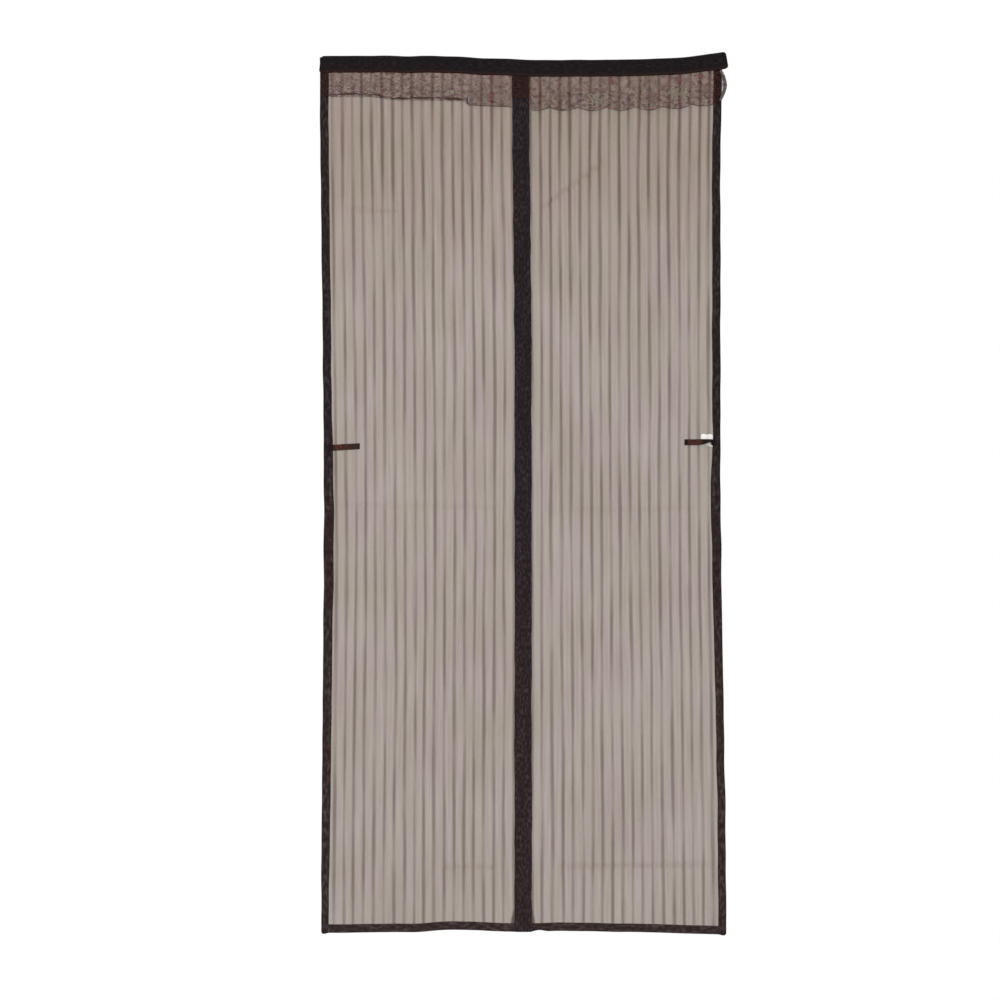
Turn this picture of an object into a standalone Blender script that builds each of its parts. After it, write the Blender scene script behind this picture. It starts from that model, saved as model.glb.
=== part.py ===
"""Magnetic insect screen for a doorway, hanging from the loop strip on its header.

Two striped mesh panels hang side by side. Each is bound with ribbon, and their inner edges
carry wide bands with magnets in pockets, which lie one over the other and close the screen.
A lace valance hangs in front from the header, and a tie strap is sewn to each side tape.

Metres, +Z up, +X to the right as seen from the front, and the viewer on the -Y side. The
origin is the middle of the loop strip's back face, which lies against the door frame. Sizes
are those of the flat screen, and drape() moves each flat point to where it hangs.
"""

import math

import bmesh
import bpy

MM = 0.001

# Flat screen, from the top of the header to the bottom of the hem
SCREEN_WIDTH = 1000 * MM
SCREEN_DROP = 2200 * MM

# Room between pieces that are sewn or laid together
CLEARANCE = 0.3 * MM

# Ribbon and tape, folded in two over an edge
RIBBON_THICKNESS = 0.5 * MM
SIDE_TAPE_WIDTH = 22.5 * MM
BOTTOM_TAPE_WIDTH = 21 * MM
BAND_WIDTH = 42 * MM
FOLD_STEPS = 2
CORNER_DROP = 3 * MM

# Header
HEADER_HEIGHT = 42 * MM
HEADER_OVERHANG_LEFT = 2 * MM
HEADER_OVERHANG_RIGHT = 10 * MM
LOOP_STRIP_HEIGHT = 20 * MM
LOOP_STRIP_THICKNESS = 1.2 * MM
LOOP_STRIP_INSET = 8 * MM

# Mesh cloth: a thin wall with raised stripes and slots between them
MESH_THICKNESS = 0.4 * MM
STRIPE_HEIGHT = 0.4 * MM
STRIPE_WIDTH = 8.5 * MM
STRIPE_PITCH = 24.8 * MM
STRIPE_MARGIN = 4 * MM
SLOT_WIDTH = 3 * MM
SLOT_WEB = 6 * MM
SLOT_ROWS = 4
MESH_EDGE_INSET = 8 * MM
MESH_SEAM = 10 * MM

# Magnets and their pockets
MAGNET_WIDTH = 12 * MM
MAGNET_LENGTH = 188 * MM
MAGNET_THICKNESS = 2 * MM
MAGNET_SIDE_ROOM = 1.5 * MM
MAGNET_END_ROOM = 2 * MM
POCKET_SLOPE = 6 * MM
POCKET_MARGIN = 10 * MM

# Lace valance
LACE_THICKNESS = 0.4 * MM
LACE_DROP = 87 * MM
LACE_TUCK = 25 * MM
LACE_FLAP = 12.5 * MM
LACE_FLAP_TOP = 3 * MM
LACE_FLAP_HEIGHT = 76 * MM
LACE_FLAP_STEPS = 8
LACE_LEFT_RAISE = 30 * MM
LACE_STEP_RAISE = 8 * MM
LACE_BAND_RAISE = 32 * MM
LACE_STEP_X = -136 * MM
LACE_STEP_SLOPE = 8 * MM
SCALLOP_PITCH = 71 * MM
SCALLOP_DEPTH = 8 * MM
SCALLOP_STEPS = 6
PETAL_LENGTH = 13 * MM
PETAL_WIDTH = 6 * MM
PETAL_RING = 11 * MM
PETALS = 5
HOLE_POINTS = 4

# Tie straps, their pads and the tag
STRAP_LENGTH = 80 * MM
STRAP_WIDTH = 15 * MM
STRAP_THICKNESS = 1.2 * MM
STRAP_SEAM = 12 * MM
STRAP_DOWN_LEFT = 961 * MM
STRAP_DOWN_RIGHT = 951 * MM
STRAP_RISE_LEFT = 2.5 * MM
STRAP_TIP = 60
PAD_LENGTH = 25 * MM
PAD_WIDTH = 12 * MM
PAD_THICKNESS = 0.8 * MM
PAD_INSET = 3 * MM
TAG_WIDTH = 30 * MM
TAG_HEIGHT = 33 * MM
TAG_THICKNESS = 0.5 * MM
TAG_LIFT = 6 * MM

# How the screen hangs: the header is stuck on in a shallow sag, the sides bow in a little,
# and the hem rises and falls
HEADER_LIFT_LEFT = 10 * MM
HEADER_LIFT_RIGHT = 20 * MM
HEADER_CURL_LEFT = 310 * MM
HEADER_LOW_X = 60 * MM
LEFT_EDGE_OUT = 7 * MM
LEFT_EDGE_BACK = 3.3 * MM
LEFT_EDGE_BACK_FROM = 0.45
LEFT_EDGE_BOW = 9.5 * MM
RIGHT_EDGE_IN = 4.3 * MM
RIGHT_EDGE_FLARE = 14.5 * MM
RIGHT_EDGE_IN_BY = 0.13
RIGHT_EDGE_OUT_FROM = 0.45
CENTRE_LEFT_AT_TOP = 5 * MM
CENTRE_RIGHT_BELOW = 1.5 * MM
CENTRE_SHIFT_BY = 0.38
HEM_LIFTS = (
    (-1.0, 15 * MM),
    (-0.55, 17 * MM),
    (-0.34, 22.5 * MM),
    (0.0, 17 * MM),
    (0.2, 19.5 * MM),
    (0.5, 16.5 * MM),
    (1.0, 10.5 * MM),
)
BEND_STEP = 75 * MM
SIDE_BEND_STEPS = 12

# Flat outline
HALF_WIDTH = SCREEN_WIDTH / 2
HALF_BAND = BAND_WIDTH / 2
HEADER_TOP = HEADER_HEIGHT / 2
HEADER_BOTTOM = -HEADER_HEIGHT / 2
HEM = HEADER_TOP - SCREEN_DROP
HEADER_LEFT = -HALF_WIDTH - HEADER_OVERHANG_LEFT
HEADER_RIGHT = HALF_WIDTH + HEADER_OVERHANG_RIGHT

# Layers, as the back face of each, from the door frame forwards
CLOTH_THICKNESS = MESH_THICKNESS + STRIPE_HEIGHT
HEADER_BACK_LEAF = -LOOP_STRIP_THICKNESS - CLEARANCE
REAR_BACK_LEAF = HEADER_BACK_LEAF - RIBBON_THICKNESS - CLEARANCE
REAR_CLOTH = REAR_BACK_LEAF - RIBBON_THICKNESS - CLEARANCE
REAR_FRONT_LEAF = REAR_CLOTH - CLOTH_THICKNESS - CLEARANCE
FRONT_BACK_LEAF = REAR_FRONT_LEAF - RIBBON_THICKNESS - CLEARANCE
FRONT_CLOTH = FRONT_BACK_LEAF - RIBBON_THICKNESS - CLEARANCE
FRONT_FRONT_LEAF = FRONT_CLOTH - CLOTH_THICKNESS - CLEARANCE
LACE_BACK = FRONT_FRONT_LEAF - RIBBON_THICKNESS - CLEARANCE
HEADER_FRONT_LEAF = LACE_BACK - LACE_THICKNESS - CLEARANCE

# What reaches up into the header stops below its fold
HEADER_BEND = (HEADER_BACK_LEAF - HEADER_FRONT_LEAF + RIBBON_THICKNESS) / 2
TUCKED_TOP = HEADER_TOP - HEADER_BEND - CLEARANCE

# Lace levels, and the magnets, which start below the lace
LACE_LOW = HEADER_BOTTOM - LACE_DROP
POCKET_BULGE = MAGNET_THICKNESS - CLOTH_THICKNESS
POCKET_HALF_WIDTH = MAGNET_WIDTH / 2 + MAGNET_SIDE_ROOM
POCKET_LENGTH = MAGNET_LENGTH + 2 * MAGNET_END_ROOM
POCKET_PITCH = POCKET_LENGTH + 2 * POCKET_SLOPE
POCKET_TOP = LACE_LOW - POCKET_MARGIN
MAGNET_COUNT = int((POCKET_TOP - HEM - POCKET_MARGIN) / POCKET_PITCH)

# Colours as shown (linear), with roughness
HEADER_BLACK = (0.016, 0.012, 0.012), 0.75
TAPE_BROWN = (0.031, 0.022, 0.021), 0.75
BAND_BROWN = (0.030, 0.019, 0.021), 0.70
MESH_BROWN = (0.23, 0.18, 0.155), 0.85
LACE_BROWN = (0.16, 0.095, 0.075), 0.80
STRAP_RED_BROWN = (0.062, 0.028, 0.022), 0.65
PAD_BLACK = (0.012, 0.010, 0.010), 0.90
TAG_WHITE = (0.87, 0.86, 0.85), 0.60
MAGNET_GREY = (0.045, 0.042, 0.040), 0.55
LOOP_BLACK = (0.010, 0.010, 0.011), 0.95


def ease(share):
    """0 up to 0, 1 from 1 on, and smooth between."""
    share = min(max(share, 0), 1)
    return share * share * (3 - 2 * share)


def header_lift(x):
    """How far the header stands above its lowest place."""
    left = HEADER_LIFT_LEFT * ease((HEADER_LOW_X - x) / HEADER_CURL_LEFT)
    return left + HEADER_LIFT_RIGHT * max(x / HALF_WIDTH, 0) ** 5


def hem_lift(x):
    """How far the hem is drawn up, between the places given in HEM_LIFTS."""
    share = min(max(x / HALF_WIDTH, -1), 1)
    for (low, low_lift), (high, high_lift) in zip(HEM_LIFTS, HEM_LIFTS[1:]):
        if share <= high:
            return low_lift + (high_lift - low_lift) * ease((share - low) / (high - low))
    return HEM_LIFTS[-1][1]


def drape(x, z):
    """Where a point of the flat screen hangs. Everything moves in its own plane."""
    down = min(max((HEADER_TOP - z) / SCREEN_DROP, 0), 1)
    left = min(max(-x / HALF_WIDTH, 0), 1)
    right = min(max(x / HALF_WIDTH, 0), 1)
    left_shift = LEFT_EDGE_BOW * math.sin(math.pi * down) ** 2 - LEFT_EDGE_OUT
    left_shift += LEFT_EDGE_BACK * ease((down - LEFT_EDGE_BACK_FROM) / (1 - LEFT_EDGE_BACK_FROM))
    right_shift = RIGHT_EDGE_FLARE * ease((down - RIGHT_EDGE_OUT_FROM) / (1 - RIGHT_EDGE_OUT_FROM))
    right_shift -= RIGHT_EDGE_IN * ease(down / RIGHT_EDGE_IN_BY)
    centre_way = CENTRE_LEFT_AT_TOP + CENTRE_RIGHT_BELOW
    centre_shift = centre_way * ease(down / CENTRE_SHIFT_BY) - CENTRE_LEFT_AT_TOP
    shift = left * left_shift + right * right_shift + (1 - left - right) * centre_shift
    lift = (1 - down) * header_lift(x) + down * hem_lift(x)
    return x + shift, z + lift


def stations(start, end, steps):
    """Evenly spaced values from start to end."""
    return [start + (end - start) * step / steps for step in range(steps + 1)]


def bends(start, end):
    """Stops along X, close enough to follow the header's sag and the hem."""
    return stations(start, end, math.ceil(abs(end - start) / BEND_STEP))


def side_levels():
    """Heights at which the side tapes bend, from the header to the hem."""
    return stations(TUCKED_TOP, HEM, SIDE_BEND_STEPS)


def by_side_tape(x, z):
    """Where a point hangs that meets a side tape, which runs straight from level to level."""
    for upper, lower in zip(side_levels(), side_levels()[1:]):
        if z >= lower:
            break
    share = (upper - z) / (upper - lower)
    high_x, high_z = drape(x, upper)
    low_x, low_z = drape(x, lower)
    return high_x + (low_x - high_x) * share, high_z + (low_z - high_z) * share


def add_object(name, mesh, look):
    """Puts a mesh in the screen's collection, with its own material."""
    colour, roughness = look
    material = bpy.data.materials.new(name)
    material.use_nodes = True
    surface = material.node_tree.nodes["Principled BSDF"]
    surface.inputs["Base Color"].default_value = (*colour, 1)
    surface.inputs["Roughness"].default_value = roughness
    surface.inputs["Metallic"].default_value = 0
    mesh.materials.append(material)
    made = bpy.data.objects.new(name, mesh)
    screen.objects.link(made)
    return made


def finished(shape, name):
    """The shape as a mesh, with its faces turned out."""
    bmesh.ops.recalc_face_normals(shape, faces=shape.faces)
    if shape.calc_volume(signed=True) < 0:
        bmesh.ops.reverse_faces(shape, faces=shape.faces)
    mesh = bpy.data.meshes.new(name)
    shape.to_mesh(mesh)
    shape.free()
    return mesh


def add_ribbon(name, look, profile, run, hang, thickness=RIBBON_THICKNESS):
    """A ribbon: a profile drawn along the stops of a run, hung in place, with its thickness.

    The profile lists (reach, depth) points of the ribbon's middle line, and hang turns
    (reach, depth, stop) into a place.
    """
    shape = bmesh.new()
    points = [shape.verts.new((reach, depth, run[0])) for reach, depth in profile]
    edges = [shape.edges.new(pair) for pair in zip(points, points[1:])]
    for before, after in zip(run, run[1:]):
        made = bmesh.ops.extrude_edge_only(shape, edges=edges)["geom"]
        moved = {item for item in made if isinstance(item, bmesh.types.BMVert)}
        edges = [
            item for item in made if isinstance(item, bmesh.types.BMEdge) and moved.issuperset(item.verts)
        ]
        bmesh.ops.translate(shape, verts=list(moved), vec=(0, 0, after - before))
    for point in shape.verts:
        point.co = hang(*point.co)
    ribbon = add_object(name, finished(shape, name), look)
    solidify = ribbon.modifiers.new("thickness", "SOLIDIFY")
    solidify.thickness = thickness
    solidify.offset = 0
    solidify.use_even_offset = True
    return ribbon


def add_box(name, look, size, centre, tilt=0):
    """A box, turned by tilt about Y."""
    shape = bmesh.new()
    bmesh.ops.create_cube(shape, size=1)
    bmesh.ops.scale(shape, verts=shape.verts, vec=size)
    box = add_object(name, finished(shape, name), look)
    box.location = centre
    box.rotation_euler.y = tilt
    return box


def fold_profile(back_leaf, front_leaf, width, back_stops=(), front_stops=()):
    """The middle line of a ribbon folded in two, as (reach, depth) points.

    Reach is measured from the outside of the fold. The leaves are given by their back faces,
    and the stops are further points along a leaf.
    """
    back = back_leaf - RIBBON_THICKNESS / 2
    front = front_leaf - RIBBON_THICKNESS / 2
    radius = (back - front) / 2
    points = [(width, back)]
    points += [(stop, back) for stop in sorted(back_stops, reverse=True)]
    for step in range(FOLD_STEPS + 1):
        angle = math.pi * step / FOLD_STEPS
        reach = radius + RIBBON_THICKNESS / 2 - radius * math.sin(angle)
        points.append((reach, (back + front) / 2 + radius * math.cos(angle)))
    points += [(stop, front) for stop in sorted(front_stops)]
    points.append((width, front))
    return points


def hung(x, depth, z):
    """A flat point with its depth, at its place on the hanging screen."""
    x, z = drape(x, z)
    return x, depth, z


def build_header():
    """The tape folded over the tops of both panels, and the loop strip on its back."""
    add_ribbon(
        "header_tape",
        HEADER_BLACK,
        fold_profile(HEADER_BACK_LEAF, HEADER_FRONT_LEAF, HEADER_HEIGHT),
        bends(HEADER_LEFT, HEADER_RIGHT),
        lambda reach, depth, x: hung(x, depth, HEADER_TOP - reach),
    )
    middle = -LOOP_STRIP_THICKNESS / 2
    add_ribbon(
        "header_loop_strip",
        LOOP_BLACK,
        [(-LOOP_STRIP_HEIGHT / 2, middle), (LOOP_STRIP_HEIGHT / 2, middle)],
        bends(HEADER_LEFT + LOOP_STRIP_INSET, HEADER_RIGHT - LOOP_STRIP_INSET),
        lambda reach, depth, x: hung(x, depth, reach),
        LOOP_STRIP_THICKNESS,
    )


def build_side_tape(name, side, back_leaf, front_leaf):
    """The ribbon over a panel's outer edge. side is -1 on the left and 1 on the right.

    Its turned-in lower end stands below the hem at the screen's corner.
    """

    def hang(reach, depth, level):
        x, z = drape(side * (HALF_WIDTH - reach), level)
        if level < HEM + CLEARANCE:
            z -= CORNER_DROP * (1 - reach / SIDE_TAPE_WIDTH)
        return x, depth, z

    add_ribbon(
        name,
        TAPE_BROWN,
        fold_profile(back_leaf, front_leaf, SIDE_TAPE_WIDTH),
        side_levels(),
        hang,
    )


def build_bottom_tape(name, side, back_leaf, front_leaf):
    """The ribbon over a panel's lower edge, between its side tape and its band."""
    inner = HALF_BAND + CLEARANCE
    outer = HALF_WIDTH - SIDE_TAPE_WIDTH - CLEARANCE

    def hang(reach, depth, x):
        x, z = by_side_tape(x, HEM + reach)
        return x, depth, z

    add_ribbon(
        name,
        TAPE_BROWN,
        fold_profile(back_leaf, front_leaf, BOTTOM_TAPE_WIDTH),
        bends(side * inner, side * outer),
        hang,
    )


def pocket_places():
    """The middle of each magnet's pocket, from the top."""
    return [POCKET_TOP - POCKET_PITCH * (index + 0.5) for index in range(MAGNET_COUNT)]


def pocket_rows():
    """Stops down a band: its ends, and where each pocket starts to rise, is full, and ends."""
    full = POCKET_LENGTH / 2
    rows = [TUCKED_TOP]
    for place in pocket_places():
        rows += [place + full + POCKET_SLOPE, place + full, place - full]
    rows += [POCKET_TOP - POCKET_PITCH * MAGNET_COUNT, HEM]
    return rows


def pocket_share(x, z):
    """1 over a magnet, 0 off its pocket."""
    across = (POCKET_HALF_WIDTH + POCKET_SLOPE - abs(x)) / POCKET_SLOPE
    from_place = min(abs(z - place) for place in pocket_places())
    along = (POCKET_LENGTH / 2 + POCKET_SLOPE - from_place) / POCKET_SLOPE
    return min(max(min(across, along), 0), 1)


def build_band(name, side, back_leaf, front_leaf):
    """The band over a panel's inner edge, which stands out over its magnets.

    side is the side of the fold: 1 on the left panel's band, whose pockets stand out to the
    front, and -1 on the right panel's, whose pockets stand out to the back.
    """
    foot = POCKET_HALF_WIDTH + POCKET_SLOPE
    stops = [HALF_BAND + x for x in (-foot, -POCKET_HALF_WIDTH, POCKET_HALF_WIDTH, foot)]
    pocket_leaf = front_leaf if side > 0 else back_leaf
    pocket_depth = pocket_leaf - RIBBON_THICKNESS / 2
    profile = fold_profile(
        back_leaf,
        front_leaf,
        BAND_WIDTH,
        back_stops=stops if side < 0 else (),
        front_stops=stops if side > 0 else (),
    )

    def hang(reach, depth, z):
        x = side * (HALF_BAND - reach)
        if abs(depth - pocket_depth) < RIBBON_THICKNESS / 4:
            depth -= side * POCKET_BULGE * pocket_share(x, z)
        return hung(x, depth, z)

    add_ribbon(name, BAND_BROWN, profile, pocket_rows(), hang)


def build_magnets(name, back_face):
    """The magnets of one band, each turned with the band where it leans."""
    for index, place in enumerate(pocket_places()):
        x, z = drape(0, place)
        upper = drape(0, place + MAGNET_LENGTH / 2)[0]
        lower = drape(0, place - MAGNET_LENGTH / 2)[0]
        add_box(
            f"{name}_{index + 1:02d}",
            MAGNET_GREY,
            (MAGNET_WIDTH, MAGNET_THICKNESS, MAGNET_LENGTH),
            (x, back_face - MAGNET_THICKNESS / 2, z),
            math.atan2(upper - lower, MAGNET_LENGTH),
        )


def stripe_places():
    """The middle of each stripe, as its distance from the middle of the screen."""
    last = HALF_WIDTH - SIDE_TAPE_WIDTH - STRIPE_MARGIN - STRIPE_WIDTH / 2
    first = HALF_BAND + STRIPE_WIDTH / 2 + STRIPE_MARGIN
    count = int((last - first) / STRIPE_PITCH)
    return [last - STRIPE_PITCH * (count - index) for index in range(count + 1)]


def slot_places():
    """The middle of each row of slots' line, halfway between two stripes and by the band."""
    stripes = stripe_places()
    return [place - STRIPE_PITCH / 2 for place in stripes]


def slot_rows():
    """(upper, lower) end of each slot, from the header to the bottom tape."""
    top = HEADER_BOTTOM - SLOT_WEB
    length = (top - HEM - BOTTOM_TAPE_WIDTH) / SLOT_ROWS
    return [(top - length * row, top - length * (row + 1) + SLOT_WEB) for row in range(SLOT_ROWS)]


def within(value, spans):
    return any(min(span) < value < max(span) for span in spans)


def build_mesh_panel(name, side, cloth_back):
    """The striped cloth. Its outer edge is in the side tape, its inner edge in the band."""
    stripes = [(place - STRIPE_WIDTH / 2, place + STRIPE_WIDTH / 2) for place in stripe_places()]
    slots = [(place - SLOT_WIDTH / 2, place + SLOT_WIDTH / 2) for place in slot_places()]
    rows = slot_rows()
    inner_edge = HALF_BAND - MESH_SEAM
    outer_edge = HALF_WIDTH - MESH_EDGE_INSET
    across = sorted([inner_edge, outer_edge, *(x for span in stripes + slots for x in span)])
    down = sorted([HEM + MESH_EDGE_INSET, TUCKED_TOP, *(z for span in rows for z in span)])

    shape = bmesh.new()
    bmesh.ops.create_grid(shape, x_segments=len(across) - 1, y_segments=len(down) - 1, size=0.5)
    for point in shape.verts:
        column = round((point.co.x + 0.5) * (len(across) - 1))
        row = round((point.co.y + 0.5) * (len(down) - 1))
        point.co = (across[column], cloth_back, down[row])
    cut = [
        face
        for face in shape.faces
        if within(face.calc_center_median().x, slots) and within(face.calc_center_median().z, rows)
    ]
    bmesh.ops.delete(shape, geom=cut, context="FACES")

    raise_faces(shape, list(shape.faces), MESH_THICKNESS)
    front = cloth_back - MESH_THICKNESS
    on_stripes = [
        face
        for face in shape.faces
        if abs(face.calc_center_median().y - front) < MESH_THICKNESS / 4
        and within(face.calc_center_median().x, stripes)
    ]
    raise_faces(shape, on_stripes, STRIPE_HEIGHT)
    bmesh.ops.delete(shape, geom=on_stripes, context="FACES_ONLY")
    for point in shape.verts:
        point.co = hung(side * point.co.x, point.co.y, point.co.z)
    add_object(name, finished(shape, name), MESH_BROWN)


def raise_faces(shape, faces, height):
    """Extrudes faces of a flat sheet towards the viewer."""
    made = bmesh.ops.extrude_face_region(shape, geom=faces)["geom"]
    raised = [item for item in made if isinstance(item, bmesh.types.BMVert)]
    bmesh.ops.translate(shape, verts=raised, vec=(0, -height, 0))


def lace_edge(x):
    """The lower edge of the lace: scalloped on the right, drawn up on the left and over the band."""
    scallop = abs(math.sin(math.pi * x / SCALLOP_PITCH))
    right = LACE_LOW + SCALLOP_DEPTH * (1 - scallop)
    left = LACE_LOW + LACE_STEP_RAISE
    left += (LACE_LEFT_RAISE - LACE_STEP_RAISE) * ease((LACE_STEP_X - x) / LACE_STEP_SLOPE)
    over_band = LACE_LOW + LACE_BAND_RAISE
    if x < -HALF_BAND:
        return left
    return over_band + (right - over_band) * ease((x - HALF_BAND) / LACE_STEP_SLOPE)


def lace_ends():
    """X of the lace's left and right ends."""
    return -HALF_WIDTH, HALF_WIDTH


def lace_outline():
    """The outline of the lace, down its lower edge from the left and back along its top."""
    left, right = lace_ends()
    top = min(HEADER_BOTTOM + LACE_TUCK, TUCKED_TOP)
    steps = math.ceil((right - left) / (SCALLOP_PITCH / SCALLOP_STEPS))
    corners = [LACE_STEP_X - LACE_STEP_SLOPE, LACE_STEP_X, -HALF_BAND - CLEARANCE, -HALF_BAND, HALF_BAND]
    lower = sorted(stations(left, right, steps) + corners + [HALF_BAND + LACE_STEP_SLOPE])
    upper = sorted(bends(left, right), reverse=True)
    return [(x, lace_edge(x)) for x in lower] + lace_flap() + [(x, top) for x in upper]


def lace_flap():
    """The loose flap at the lace's right end, which bulges past the side tape."""
    top = HEADER_BOTTOM - LACE_FLAP_TOP
    return [
        (
            HALF_WIDTH + LACE_FLAP * math.sin(math.pi * step / LACE_FLAP_STEPS),
            top - LACE_FLAP_HEIGHT * (1 - step / LACE_FLAP_STEPS),
        )
        for step in range(1, LACE_FLAP_STEPS)
    ]


def oval(x, z, length, width, turn):
    """Points round an oval hole."""
    points = []
    for step in range(HOLE_POINTS):
        angle = 2 * math.pi * step / HOLE_POINTS
        along = length / 2 * math.cos(angle)
        across = width / 2 * math.sin(angle)
        points.append(
            (
                x + along * math.cos(turn) - across * math.sin(turn),
                z + along * math.sin(turn) + across * math.cos(turn),
            )
        )
    return points


def lace_holes():
    """The petals of a flower over each scallop."""
    left, right = lace_ends()
    first = math.ceil(left / SCALLOP_PITCH)
    holes = []
    for index in range(first, int(right / SCALLOP_PITCH)):
        x = (index + 0.5) * SCALLOP_PITCH
        z = (HEADER_BOTTOM + lace_edge(x)) / 2
        for petal in range(PETALS):
            turn = math.pi / 2 + 2 * math.pi * petal / PETALS
            centre = x + PETAL_RING * math.cos(turn), z + PETAL_RING * math.sin(turn)
            holes.append(oval(*centre, PETAL_LENGTH, PETAL_WIDTH, turn))
    return holes


def build_lace():
    """The lace, as a flat outline with its holes, given its thickness and then hung."""
    curve = bpy.data.curves.new("lace_outline", "CURVE")
    curve.dimensions = "2D"
    curve.fill_mode = "BOTH"
    curve.extrude = LACE_THICKNESS / 2
    for outline in [lace_outline(), *lace_holes()]:
        spline = curve.splines.new("POLY")
        spline.points.add(len(outline) - 1)
        spline.use_cyclic_u = True
        for point, (x, z) in zip(spline.points, outline):
            point.co = (x, z, 0, 1)
    drawn = bpy.data.objects.new("lace_outline", curve)
    screen.objects.link(drawn)
    graph = bpy.context.evaluated_depsgraph_get()
    mesh = bpy.data.meshes.new_from_object(drawn.evaluated_get(graph))
    shape = bmesh.new()
    shape.from_mesh(mesh)
    bmesh.ops.remove_doubles(shape, verts=shape.verts, dist=CLEARANCE / 10)
    middle = LACE_BACK - LACE_THICKNESS / 2
    for point in shape.verts:
        point.co = hung(point.co.x, middle - point.co.z, point.co.y)
    bpy.data.objects.remove(drawn)
    bpy.data.meshes.remove(mesh)
    add_object("lace_valance", finished(shape, "lace_valance"), LACE_BROWN)


def build_strap(side, back_face, down, rise, tip_angle):
    """A tie strap, sewn to the side tape and pointing inwards, and where its end lies.

    Between its root and its end the strap is tipped towards the viewer by tip_angle, about
    its upper edge, which stays level.
    """
    name = "tie_strap_left" if side < 0 else "tie_strap_right"
    root, z = drape(side * (HALF_WIDTH - SIDE_TAPE_WIDTH + STRAP_SEAM), -down)
    middle = back_face - STRAP_THICKNESS / 2
    steps = 12 if tip_angle else 1

    def hang(reach, depth, along):
        share = (along - STRAP_SEAM) / (STRAP_LENGTH - STRAP_SEAM - PAD_LENGTH - PAD_INSET)
        turn = tip_angle * math.sin(math.pi * min(max(share, 0), 1))
        below = STRAP_WIDTH / 2 - reach
        climb = rise * along / STRAP_LENGTH
        upper = z + climb + STRAP_WIDTH / 2
        return root - side * along, middle - below * math.sin(turn), upper - below * math.cos(turn)

    add_ribbon(
        name,
        STRAP_RED_BROWN,
        [(-STRAP_WIDTH / 2, 0), (STRAP_WIDTH / 2, 0)],
        stations(0, STRAP_LENGTH, steps),
        hang,
        STRAP_THICKNESS,
    )
    return root - side * (STRAP_LENGTH - PAD_INSET - PAD_LENGTH / 2), z + rise


def build_pad(name, centre_x, centre_z, back_face, tilt):
    """The gripping pad on a strap's end."""
    add_box(
        name,
        PAD_BLACK,
        (PAD_LENGTH, PAD_THICKNESS, PAD_WIDTH),
        (centre_x, back_face - PAD_THICKNESS / 2, centre_z),
        tilt,
    )


def build_ties():
    """Both straps with their pads: the left pad shows, and the right one is turned to the back."""
    left_back = FRONT_FRONT_LEAF - RIBBON_THICKNESS - CLEARANCE
    slope = STRAP_RISE_LEFT / STRAP_LENGTH
    x, z = build_strap(-1, left_back, STRAP_DOWN_LEFT, STRAP_RISE_LEFT, 0)
    pad_z = z - slope * (PAD_INSET + PAD_LENGTH / 2)
    build_pad("tie_pad_left", x, pad_z, left_back - STRAP_THICKNESS - CLEARANCE, -math.atan(slope))
    pad_back = REAR_CLOTH - CLOTH_THICKNESS - CLEARANCE
    right_back = pad_back - PAD_THICKNESS - CLEARANCE
    x, z = build_strap(1, right_back, STRAP_DOWN_RIGHT, 0, math.radians(STRAP_TIP))
    build_pad("tie_pad_right", x, z, pad_back, 0)


def build_tag():
    """The bare tag by the right strap, sewn in at the side tape's inner edge."""
    edge = HALF_WIDTH - SIDE_TAPE_WIDTH
    middle = TAG_LIFT - STRAP_DOWN_RIGHT
    x, z = by_side_tape(edge, middle)
    upper = by_side_tape(edge, middle + TAG_HEIGHT / 2)[0]
    lean = math.atan2(upper - x, TAG_HEIGHT / 2)
    back_face = REAR_CLOTH - CLOTH_THICKNESS - CLEARANCE
    centre = (x - CLEARANCE - TAG_WIDTH / 2, back_face - TAG_THICKNESS / 2, z)
    add_box("care_tag", TAG_WHITE, (TAG_WIDTH, TAG_THICKNESS, TAG_HEIGHT), centre, lean)


for leftover in list(bpy.data.objects):
    bpy.data.objects.remove(leftover)
screen = bpy.data.collections.new("insect_screen")
bpy.context.scene.collection.children.link(screen)

build_header()
build_mesh_panel("mesh_panel_left", -1, FRONT_CLOTH)
build_mesh_panel("mesh_panel_right", 1, REAR_CLOTH)
build_side_tape("side_tape_left", -1, FRONT_BACK_LEAF, FRONT_FRONT_LEAF)
build_side_tape("side_tape_right", 1, REAR_BACK_LEAF, REAR_FRONT_LEAF)
build_bottom_tape("bottom_tape_left", -1, FRONT_BACK_LEAF, FRONT_FRONT_LEAF)
build_bottom_tape("bottom_tape_right", 1, REAR_BACK_LEAF, REAR_FRONT_LEAF)
build_band("centre_band_front", 1, FRONT_BACK_LEAF, FRONT_FRONT_LEAF)
build_band("centre_band_rear", -1, REAR_BACK_LEAF, REAR_FRONT_LEAF)
build_magnets("magnet_front", FRONT_BACK_LEAF - RIBBON_THICKNESS - CLEARANCE)
build_magnets("magnet_rear", REAR_FRONT_LEAF + CLEARANCE + MAGNET_THICKNESS)
build_lace()
build_ties()
build_tag()
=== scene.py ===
# %% [markdown]
# # A magnetic insect screen, dressed for its portrait
# The real thing is light: two sheer striped panels, a few metres of folded ribbon, a strip of
# lace and twenty flexible magnets. The frame below holds the measured solids. Each cloth piece
# is modelled anew in the place of its solid, and the magnets keep theirs.

# %% Load the measured frame
import math

import bmesh
import bpy
from mathutils import Matrix, Vector, noise


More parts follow.
